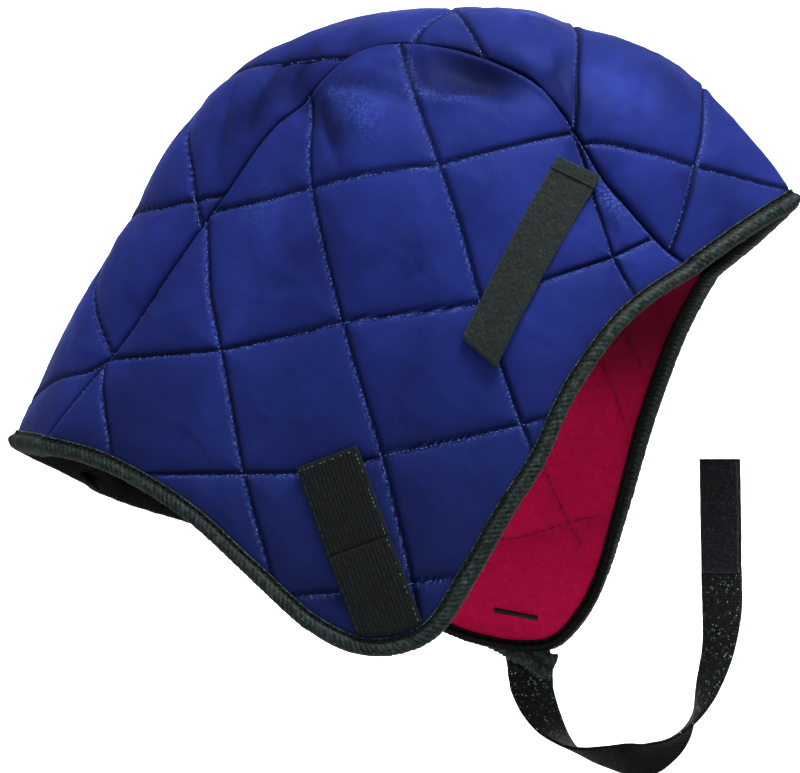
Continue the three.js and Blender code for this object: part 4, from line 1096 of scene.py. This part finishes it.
def make_binding():
    inward = np.cross(RIM_N, RIM_T)
    middle = np.array([0, 0, -60.0])
    pick = np.sign((inward * (middle - RIM_P)).sum(-1)).mean()
    inward = unit(inward * (1 if pick > 0 else -1))
    k = len(RIM_P)
    NARROW = 0.52
    # (how far in from the rim, height over the outer cloth), round the section
    outer = [(5.05, 0.05), (5.2, 0.28), (5.0, 0.52), (4.6, 0.55), (4.2, 0.34), (3.85, 0.24), (3.5, 0.55), (3.05, 1.05),
             (2.5, 1.42), (1.9, 1.62), (1.2, 1.66), (0.6, 1.48), (0.0, 1.12), (-0.5, 0.55), (-0.85, -0.15), (-1.05, -1.1)]
    mirrored = [(d * NARROW if d > 0 else d, -WALL - h * 0.62) for d, h in outer[::-1]]
    section = outer + [(-1.12, -WALL / 2)] + mirrored
    inside = [(2.2, -WALL - 0.02), (0.3, -WALL - 0.10), (-0.35, -WALL + 0.1), (-0.45, -WALL / 2), (-0.35, -0.1), (0.3, 0.10), (4.6, 0.0)]
    ring = section + inside
    at_rim = {}
    # at the nape the tape is folded further in over the lining
    broad = 1 + 3.5 * smooth(-80, -100, RIM_P[:, 0]) * smooth(-30, -18, RIM_P[:, 1])
    nape = 1.0 * smooth(-80, -100, RIM_P[:, 0]) + 1.7 * smooth(-102, -112, RIM_P[:, 0]) * smooth(12, 24, RIM_P[:, 1])
    for i, (d, _) in enumerate(ring):
        inner_side = len(outer) < i <= len(section)
        key = (d, inner_side)
        if d > 0 and key not in at_rim:
            at_rim[key] = on_cap(RIM_P + inward * (d * (broad[:, None] if inner_side else 1.0)))
    arc, total = [], 0.0
    for i, (d, h) in enumerate(section):
        if i:
            total += math.hypot(d - section[i - 1][0], h - section[i - 1][1])
        arc.append(total)
    rows, uvs, dark = [], [], []
    sway = noise1(RIM_S / 11.0, 5) * 0.16 + noise1(RIM_S / 4.0, 6) * 0.07
    for i, (d, h) in enumerate(ring):
        if d > 0:
            p, n = at_rim[(d, len(outer) < i <= len(section))]
        else:
            p, n = RIM_P + inward * d, RIM_N
        lift = h - nape if len(outer) < i < len(section) else h
        if i < len(section):
            a = arc[i]
            soft = math.sin(math.pi * min(1, max(0, (a - 0.5) / (total - 1.0)))) ** 0.5
            phase = (RIM_S * 1.0 + 0.75 * a + 0.5 * noise1(RIM_S / 6.0, 8)) / 1.95
            wave = np.abs(np.sin(math.pi * phase)) ** 0.7
            rib = (wave - 0.65) * 0.66
            far = i > len(outer)
            e = d / NARROW if far and d > 0 else d
            valley = 1 - 0.7 * math.exp(-((abs(e) - 4.1) / 0.9) ** 2)
            rough = noise(p, 2.2, 7) * 0.14 + noise(p, 1.2, 9) * 0.08
            grow = (rib * valley + rough + sway * 0.6) * soft
            # painted shade: grooves between the ribs, the valley by the cloth, and the inner half of the tape that lies
            # in shade across the opening
            dark.append(np.clip(1.4 * (1 - wave) * soft + 0.95 * math.exp(-((e - 4.2) / 0.95) ** 2) + (0.92 if far else 0.0), 0, 1))
        else:
            grow = 0.0
            dark.append(np.ones(k))
        # outwards of the section at this point
        j0, j1 = ring[(i - 1) % len(ring)], ring[(i + 1) % len(ring)]
        tx, ty = j1[0] - j0[0], j1[1] - j0[1]
        length = math.hypot(tx, ty)
        ox, oy = -ty / length, tx / length
        if i < len(section) and (ox * (d - 2.5) + oy * (h + WALL / 2)) < 0:
            ox, oy = -ox, -oy
        grow = np.asarray(grow)
        q = p + n * (lift + oy * grow)[..., None] + inward * (ox * grow)[..., None] if grow.ndim else p + n * lift
        rows.append(q)
        uvs.append(np.stack([RIM_S, np.full(k, arc[i] if i < len(section) else 0.0)], -1))
    b = Build()
    g = np.stack(rows, 1)
    b.grid(g, np.stack(uvs, 1), wrap_u=True, wrap_v=True, crease=np.stack(dark, 1))
    # stitches in the valley, both sides, and short worn ones at the edge on the cloth
    step = 3.2
    at = np.arange(step / 2, RIM_LENGTH - step / 2, step)
    idx = np.clip(np.searchsorted(RIM_S, at), 0, k - 1)
    p, n = on_cap(RIM_P[idx] + inward[idx] * 3.9)
    b.thread(p + n * 0.36, RIM_T[idx], n, 2.4, 0.2, 1, 0.05, sides=5)
    p, n = on_cap(RIM_P[idx] + inward[idx] * 2.0)
    b.thread(p - n * (WALL + 0.28), RIM_T[idx], -n, 2.4, 0.2, 1, 0.05, sides=5)
    at = np.arange(0.6, RIM_LENGTH - 0.6, 1.25)
    idx = np.clip(np.searchsorted(RIM_S, at), 0, k - 1)
    p, n = on_cap(RIM_P[idx] + inward[idx] * 4.85)
    keep = chance(p, 12) > 0.45
    b.thread((p + n * 0.56)[keep], RIM_T[idx][keep], n[keep], 0.75, 0.12, 2, 0.0, sides=4)
    # the tape's end, folded and tucked under beside the strap
    route = np.array([[13.0, 57.6, -205.6], [18.5, 56.6, -208.0], [25.5, 55.8, -211.2], [32.5, 55.2, -214.6], [38.0, 54.8, -217.6], [41.2, 54.6, -219.4]])
    seq = np.linspace(0, len(route) - 1, 78)
    c = hermite(route, seq)
    t = unit(np.gradient(c, axis=0))
    face = np.array([0.225, -0.974, 0.0])
    up = unit(np.cross(np.broadcast_to(face, t.shape), t))
    run = np.concatenate([[0], np.cumsum(np.linalg.norm(np.diff(c, axis=0), axis=1))])
    ang = np.arange(40) * 2 * math.pi / 40
    half = 4.3 - 1.5 * smooth(8, 0, run) + 0.7 * smooth(run[-1] - 9, run[-1] - 3, run)
    deep = 1.9 + 0.5 * smooth(run[-1] - 8, run[-1] - 3, run)
    close = np.sqrt(np.clip(1 - np.clip((run - (run[-1] - 1.6)) / 1.6, 0, 1) ** 2, 0.02, 1)) * np.sqrt(np.clip(run / 1.5, 0.02, 1))
    sx, cx = np.sin(ang), np.cos(ang)
    pow_ = lambda v, e: np.sign(v) * np.abs(v) ** e
    w = pow_(cx, 0.75)[None] * (half * close)[:, None]
    v = pow_(sx, 0.85)[None] * (deep * close)[:, None]
    q = np.stack([run[:, None] + 0 * w, w, v], -1)
    phase = (run[:, None] * 0.85 + 0.75 * w + 1.2 * noise(q, 5.0, 31)) / 2.0
    wave = np.abs(np.sin(math.pi * phase)) ** 0.7
    fold = np.exp(-((w - 0.6 - 1.3 * np.sin(run[:, None] / 8)) / 0.7) ** 2)
    grow = (wave - 0.65) * 0.55 + 0.55 * noise(q, 3.4, 32) + 0.25 * noise(q, 1.7, 33) - 0.9 * fold
    grow = grow * close[:, None]
    lump = c[:, None] + up[:, None] * (w + grow * cx[None])[..., None] + face * (v + grow * sx[None])[..., None]
    # painted shade in the grooves and the fold of the tucked end
    b.grid(lump, np.stack([run[:, None] + 0 * w, w + v], -1), wrap_v=True, flip=True, crease=np.clip(0.8 * (1 - wave) ** 1.5 + 0.7 * fold, 0, 1))
    obj = b.make("rim_binding_tape", [BINDING, BLACK_THREAD, PALE_THREAD])
    return place(obj, "binding", "rim_binding")


binding = make_binding()

# ---------------------------------------------------------------------------------------------
# tapes on the side panels
# ---------------------------------------------------------------------------------------------
side_trees = {}
for name in ("right", "left"):
    p, n = (a.reshape(-1, 3) for a in COARSE[name])
    t = KDTree(len(p))
    for i, q in enumerate(p):
        t.insert((q[0], 0, q[2]), i)
    t.balance()
    side_trees[name] = (t, p, n)


def on_side(name, x, z):
    """The outer surface at a place seen square to the side."""
    t, p, n = side_trees[name]
    shape = x.shape
    xs, zs = x.ravel(), z.ravel()
    out, nn = np.zeros((len(xs), 3)), np.zeros((len(xs), 3))
    for k in range(len(xs)):
        near = t.find_n((xs[k], 0, zs[k]), 4)
        w = np.array([1 / (0.05 + f[2] ** 2) for f in near])
        w /= w.sum()
        y, m = 0.0, np.zeros(3)
        for wi, f in zip(w, near):
            a, b = p[f[1]], n[f[1]]
            y += wi * (a[1] - (b[0] * (xs[k] - a[0]) + b[2] * (zs[k] - a[2])) / b[1])
            m += wi * b
        out[k] = (xs[k], y, zs[k])
        nn[k] = m / np.linalg.norm(m)
    return out.reshape(shape + (3,)), nn.reshape(shape + (3,))


def tape(name, start, end, width, thick, lift, steps, across, seed, fuzz=0.12, edge=0.35, wavy=0.12, bulge=0.0, to_rim=None, skew=0.0):
    """A strip of tape on a side panel.  Gives the build, the top's points and its frame."""
    x0, z0 = start
    x1, z1 = end
    run = np.array([x1 - x0, 0, z1 - z0], float)
    length = np.linalg.norm(run)
    run /= length
    side = np.array([-run[2], 0, run[0]])
    s = np.linspace(0, 1, steps + 1)
    c = np.linspace(-0.5, 0.5, across + 1)
    ss, cc = np.meshgrid(s, c, indexing="ij")
    ss = ss * (1 + (cc + 0.5) * skew / length)
    if to_rim is not None:
        # each thread of the tape runs on to the same distance from the rim
        far = np.linspace(0, 12, 49)
        fx = x1 + run[0] * far[:, None] + side[0] * c * width
        fz = z1 + run[2] * far[:, None] + side[2] * c * width
        clear = rim_distance(on_side(name, fx, fz)[0]) > to_rim
        more = np.array([far[max(0, np.argmin(clear[:, j]) - 1)] if not clear[:, j].all() else 12.0 for j in range(len(c))])
        more = np.convolve(np.pad(more, 3, mode="edge"), np.ones(7) / 7, "valid")
        ss = ss * (1 + more[None] / length)
    wob = wavy * noise1(ss * length / 9.0 + seed, seed) * np.sign(cc) * smooth(0.3, 0.5, np.abs(cc))
    x = x0 + run[0] * length * ss + side[0] * (cc * width + wob)
    z = z0 + run[2] * length * ss + side[2] * (cc * width + wob)
    p, n = on_side(name, x, z)
    base = lift(ss)
    d = np.minimum(np.minimum(ss * length, (ss[-1:] - ss) * length), (0.5 - np.abs(cc)) * width)
    round_ = 1 - np.exp(-(d / edge))
    q = np.stack([ss * length, cc * width, np.full_like(ss, seed * 7.0)], -1)
    h = thick * (0.55 + 0.45 * round_) + fuzz * (noise(q, 0.9, seed) * 0.6 + noise(q, 1.9, seed + 1) * 0.6) * smooth(0.2, 1.2, d)
    h = h + bulge * np.exp(-((ss - 0.5) / 0.3) ** 2) * smooth(0, 4, d)
    top = p + n * (base + h)[..., None]
    under = p + n * base[..., None]
    uv = np.stack([cc * width, ss * length], -1)
    b = Build()
    a = b.grid(top, uv)
    u = b.grid(under, uv, flip=True)
    b.zip(a, u, 1, flip=True)
    return b, top, n, run, side, length


def tab_lift(t):
    return 0.75 + 1.6 * np.maximum(0, t - 0.35) ** 2 * 2.4


for name in ("right", "left"):
    b, top, n, run, side, length = tape(name, (69.3, -54.2), (41.4, -114.2), 14, 1.2, tab_lift, 132, 32, 3 if name == "right" else 4, fuzz=0.18, skew=4.2)
    k = 17
    c = np.linspace(-0.46, 0.46, k)
    s = np.full(k, 4.6 / length)
    i, j = (s * (top.shape[0] - 1)).astype(int), ((c + 0.5) * (top.shape[1] - 1)).astype(int)
    b.thread(top[i, j] + n[i, j] * 0.12, np.tile(unit(side + run * 0.5), (k, 1)), n[i, j], 1.5, 0.36, 1, 0.0)
    # thread along the edges of the stitched end
    for edge_c, seq in ((-0.42, np.arange(1.5, 26, 2.9)), (0.42, np.arange(1.5, 26, 2.9))):
        i = (seq / length * (top.shape[0] - 1)).astype(int)
        j = np.full(len(seq), int((edge_c + 0.5) * (top.shape[1] - 1)))
        b.thread(top[i, j] + n[i, j] * 0.02, np.tile(run, (len(seq), 1)), n[i, j], 1.9, 0.16, 1, 0.0)
    obj = b.make(name + "_temple_tab_tape", [LOOP, BLACK_THREAD])
    place(obj, "loop_tape", name + "_temple_tab")

P = dict(topX=-10, topZ=-149, midX=0, midZ=-178, endX=7.8, endZ=-199.8)
for part, (start, end) in {
    "upper": ((P["topX"], P["topZ"]), (P["midX"] - 0.01, P["midZ"] + 0.03)),
    "lower": ((P["midX"] + 0.01, P["midZ"] - 0.03), (P["endX"], P["endZ"])),
}.items():
    b, top, n, run, side, length = tape("right", start, end, 22, 1.2, lambda t: 0.75 + 0 * t, 64, 44, 8 if part == "upper" else 9, fuzz=0.16, bulge=0.3,
                                         to_rim=5.7 if part == "lower" else None)
    m0, m1 = top.shape[0] - 1, top.shape[1] - 1

    def row(ss, cc, mat, along, size=2.0, r=0.2):
        i, j = np.clip((ss * m0).round().astype(int), 0, m0), np.clip(((cc + 0.5) * m1).round().astype(int), 0, m1)
        b.thread(top[i, j] + n[i, j] * 0.05, np.tile(along, (len(i), 1)), n[i, j], size, r, mat, 0.0)

    seq = np.arange(1.2, length - 0.6, 1.5) / length
    seq = seq[chance(np.stack([seq * 50, seq * 0, seq * 0 + 3], -1), 15) > 0.35]
    row(seq, np.full(len(seq), 0.455), 2, run, 0.95, 0.14)
    seq = np.arange(1.6, length - 1.0, 2.8) / length
    row(seq, np.full(len(seq), -0.445), 1, run)
    cs = np.arange(-9.8, 9.9, 1.5) / 22
    cs = cs[chance(np.stack([cs * 50, cs * 0, cs * 0 + 5], -1), 16) > 0.3]
    row(np.full(len(cs), (1.2 if part == "upper" else length - 1.7) / length), cs, 2 if part == "upper" else 1, side, 0.95, 0.14)
    obj = b.make("right_flap_patch_%s_tape" % part, [BLACK, BLACK_THREAD, PALE_THREAD])
    place(obj, "black_tape", "right_flap_patch_" + part)

# ---------------------------------------------------------------------------------------------
# chin strap
# ---------------------------------------------------------------------------------------------
STRAP_FACE = np.array([0.225, -0.974, 0.0])
ROUTE = np.array([  # x, y, z, twist
    [27.56, 61.48, -199.31, 14], [28.87, 60.86, -204.80, 14], [30.18, 60.24, -210.29, 14], [31.38, 61.14, -216.79, 8],
    [32.5, 62, -227, -24], [37.5, 60.5, -237.5, -47], [43.5, 58, -244.5, -73], [49.5, 55, -248, -92],
    [58.5, 51, -250, -114], [74, 44, -250, -145], [85.4, 38, -244.6, -123], [93.4, 33, -236, -90],
    [98.6, 30, -226.2, -66], [103.3, 27.5, -212.5, -50], [105.2, 25.5, -198, -38], [105.2, 25, -189.5, -36],
])
END_RUN, STRAP_WIDTH, STRAP_THICK = 42.0, 16.0, 1.3


def strap_frames(step):
    p = ROUTE[:, :3]
    ext = np.concatenate([2 * p[:1] - p[1:2], p, 2 * p[-1:] - p[-2:-1]])
    pts, tw = [], []
    for i in range(len(p) - 1):
        p0, p1, p2, p3 = ext[i:i + 4]
        d0, d1, d2 = (max(np.linalg.norm(b - a) ** 0.5, 1e-4) for a, b in ((p0, p1), (p1, p2), (p2, p3)))
        t1 = ((p1 - p0) / d0 - (p2 - p0) / (d0 + d1) + (p2 - p1) / d1) * d1
        t2 = ((p2 - p1) / d1 - (p3 - p1) / (d1 + d2) + (p3 - p2) / d2) * d1
        f = np.linspace(0, 1, 60, endpoint=False)[:, None]
        pts.append(p1 + t1 * f + (-3 * p1 + 3 * p2 - 2 * t1 - t2) * f**2 + (2 * p1 - 2 * p2 + t1 + t2) * f**3)
        tw.append(ROUTE[i, 3] + (ROUTE[i + 1, 3] - ROUTE[i, 3]) * f[:, 0])
    pts.append(p[-1:])
    tw.append(ROUTE[-1:, 3])
    q, tw = np.concatenate(pts), np.concatenate(tw)
    last = unit((q[-1] - q[-3])[None])[0]
    more = np.arange(1, 85)[:, None] * 0.5
    q = np.concatenate([q, q[-1] + last * more])
    tw = np.concatenate([tw, np.full(84, tw[-1])])
    s = np.concatenate([[0], np.cumsum(np.linalg.norm(np.diff(q, axis=0), axis=1))])
    at = np.linspace(0, s[-1], int(s[-1] / step) + 1)
    q = np.stack([np.interp(at, s, q[:, i]) for i in range(3)], -1)
    tw = np.interp(at, s, tw)
    kern = np.ones(13) / 13
    tw = np.convolve(np.pad(tw, 6, mode="edge"), kern, "valid")
    t = unit(np.gradient(q, axis=0))
    side = unit(np.cross(STRAP_FACE, t))
    face = unit(np.cross(t, side))
    a = np.radians(tw)[:, None]
    across = side * np.cos(a) + face * np.sin(a)
    return q, across, t, unit(np.cross(t, across)), at


def make_strap():
    q, across, t, face, at = strap_frames(0.55)
    m = len(q)
    half = STRAP_WIDTH / 2
    c = np.concatenate([[-1, -0.985, -0.95], np.linspace(-0.88, 0.88, 27), [0.95, 0.985, 1]])
    rim = np.sqrt(np.clip(1 - (np.clip((np.abs(c) - 0.9) / 0.1, 0, 1)) ** 2, 0.03, 1))
    ss, cc = np.meshgrid(at, c, indexing="ij")
    rib = 0.10 * (np.abs(np.sin(math.pi * ss / 1.15)) - 0.5) * (0.6 + 0.4 * np.cos(2 * math.pi * cc * half / 1.9))
    sway = 0.22 * noise1(ss / 14.0 + 3, 3) * cc
    edge = 1 + 0.012 * noise1(ss / 2.2, 9)
    total = at[-1]
    hot = 0.25 * np.exp(-(total - ss) / 0.8)          # sealed end
    tops = []
    for sign in (1, -1):
        h = (STRAP_THICK / 2 * rim[None] + rib * smooth(0, 0.25, 1 - np.abs(cc)) + hot) * sign + sway
        tops.append(q[:, None] + across[:, None] * (cc * half * edge)[..., None] + face[:, None] * h[..., None])
    uv = np.stack([cc * half, ss], -1)
    b = Build()
    g0 = b.grid(tops[0], uv, material=2)
    g1 = b.grid(tops[1], uv + np.array([200.0, 0]), flip=True)
    b.zip(g0, g1, 1, flip=True)
    # the box of stitches that holds it to the ear flap
    for s0, count in ((3.0, 5), (9.0, 5)):
        i = np.clip(np.searchsorted(at, np.full(count, s0)), 0, m - 1)
        cs = np.linspace(-5.6, 5.6, count)
        b.thread(q[i] + across[i] * cs[:, None] - face[i] * 0.68, across[i], -face[i], 2.2, 0.22, 1, 0.0)
    # stitches that hold the hook tape, seen on the back
    for cs in (-6.4, 6.4):
        seq = np.arange(total - 37.5, total - 1.5, 3.0)
        i = np.clip(np.searchsorted(at, seq), 0, m - 1)
        b.thread(q[i] + across[i] * cs - face[i] * 0.66, t[i], -face[i], 2.1, 0.2, 1, 0.0)
    obj = b.make("chin_strap_webbing", [WEBBING, BLACK_THREAD, FUZZY])
    place(obj, "webbing", "chin_strap")
    return q, across, t, face, total


sq, sa, st, sf, strap_length = make_strap()


def make_hook():
    end, tan, acr, fac = sq[-1], st[-1], sa[-1], sf[-1]
    length, width, thick = 38.0, 15.0, 1.0
    m, n = 76, 30
    ss, cc = np.meshgrid(np.linspace(0, 1, m + 1), np.linspace(-0.5, 0.5, n + 1), indexing="ij")
    x, y = ss * length, cc * width
    d = np.minimum(np.minimum(x, length - x), width / 2 - np.abs(y))
    corner = np.hypot(np.maximum(0, np.abs(y) - (width / 2 - 1.5)), np.maximum(0, np.maximum(1.5 - x, x - (length - 1.5))))
    shrink = np.where(corner > 1.5, 1.5 / np.maximum(corner, 1e-6), 1.0)
    yy = np.where(corner > 1.5, np.sign(y) * (width / 2 - 1.5 + (np.abs(y) - (width / 2 - 1.5)) * shrink), y)
    xx = np.where(corner > 1.5, np.where(x < length / 2, 1.5 - (1.5 - x) * shrink, length - 1.5 + (x - length + 1.5) * shrink), x)
    weave = 0.05 * np.sin(2 * math.pi * xx / 1.27) * np.sin(2 * math.pi * yy / 1.27)
    h = 0.42 * (0.5 + 0.5 * (1 - np.exp(-d / 0.35))) + weave * smooth(0.3, 1.0, d)
    at = lambda xx, yy, hh: end + tan * (-(0.8 + xx))[..., None] + acr * yy[..., None] + fac * (STRAP_THICK / 2 + 0.12 + hh)[..., None]
    uv = np.stack([yy, xx], -1)
    b = Build()
    a = b.grid(at(xx, yy, h), uv)
    u = b.grid(at(xx, yy, 0 * h), uv, flip=True)
    b.zip(a, u, 1, flip=True)
    # rows of tiny hooks, standing on the base
    hx, hy = np.meshgrid(np.arange(1.6, length - 1.4, 1.27), np.arange(-width / 2 + 1.5, width / 2 - 1.3, 1.0), indexing="ij")
    hy = hy + 0.5 * (np.arange(hx.shape[0]) % 2)[:, None]
    hx, hy = hx.ravel(), hy.ravel()
    keep = np.abs(hy) < width / 2 - 1.0
    hx, hy = hx[keep], hy[keep]
    jit = noise1(hx * 3.7 + hy * 11.3, 2) * 0.12
    base = at(hx + jit, hy, np.full(len(hx), 0.40))
    b.thread(base, np.tile(unit((tan + acr * 0.15)[None]), (len(hx), 1)), np.tile(fac, (len(hx), 1)), 0.85, 0.17, 0, 0.22, sides=5)
    # thread along the patch's two long edges
    seq = np.arange(1.5, length - 1, 2.8)
    for side in (-1, 1):
        p = at(seq, np.full(len(seq), side * (width / 2 - 0.8)), np.full(len(seq), 0.45))
        b.thread(p, np.tile(tan, (len(seq), 1)), np.tile(fac, (len(seq), 1)), 2.0, 0.18, 1, 0.0)
    obj = b.make("chin_strap_hook_tape", [HOOK, BLACK_THREAD])
    place(obj, "hook_tape", "chin_strap_hook_patch")


make_hook()

# ---------------------------------------------------------------------------------------------
# floor, backdrop and light
# ---------------------------------------------------------------------------------------------
def paper():
    m = Mat("paper", Specular_IOR_Level=0.1)
    wall = m.ramp(m.noise(900, 2, 0.5), (0.3, lin(243, 243, 243)), (0.7, lin(250, 250, 250)))
    high = m.t.nodes.new("ShaderNodeSeparateXYZ")
    m.link(m.obj.outputs["Object"], high.inputs[0])
    low = m.ramp(m.math("MULTIPLY", m.math("ADD", high.outputs["Z"], 0.5), 5.0), (0.0, 1.0), (1.0, 0.0))
    m.colour(m.mix(low, wall, lin(205, 205, 205)))
    m.rough(m.range(m.noise(300, 1), 0.85, 0.95))
    return m.m


def backdrop():
    floor, back, radius, high = -480.0, 5000.0, 1000.0, 5200.0
    prof = [(-6000.0, floor)]
    for a in np.linspace(0, math.pi / 2, 13):
        prof.append((back - radius + radius * math.sin(a), floor + radius - radius * math.cos(a)))
    prof.append((back, high))
    prof = np.array(prof)
    xs = np.linspace(-7000, 7000, 9)
    g = np.stack([np.stack([np.full(len(prof), x), prof[:, 0], prof[:, 1]], -1) for x in xs], 0)
    b = Build()
    b.grid(g, g[..., :2])
    obj = b.make("backdrop_paper", [paper()])


backdrop()


def area(name, loc, look, size, power, colour=(1, 1, 1)):
    light = bpy.data.lights.new(name, "AREA")
    light.shape, light.size, light.size_y = "RECTANGLE", size[0], size[1]
    light.energy, light.color = power, colour
    o = bpy.data.objects.new(name, light)
    scene.collection.objects.link(o)
    o.location = loc
    o.rotation_mode = "QUATERNION"
    o.rotation_quaternion = (Vector(look) - Vector(loc)).to_track_quat("-Z", "Y")
    return o


mid = (0, 0, -0.12)
area("key_top", (0.48, -0.50, 1.15), mid, (0.6, 0.5), 34)
area("fill_left", (-1.3, -0.9, 0.55), mid, (0.9, 0.9), 4.0)
area("front_right", (1.0, -1.4, 0.05), mid, (0.6, 0.6), 4.4)
area("paper_left", (-2.2, 3.4, 0.6), (-0.6, 5.0, -0.1), (1.4, 1.4), 120)
area("paper_right", (2.2, 3.4, 0.6), (0.6, 5.0, -0.1), (1.4, 1.4), 120)
world = bpy.data.worlds.new("studio")
scene.world = world
world.use_nodes = True
world.node_tree.nodes["Background"].inputs["Color"].default_value = (1, 1, 1, 1)
world.node_tree.nodes["Background"].inputs["Strength"].default_value = 0.29

bpy.context.view_layer.update()
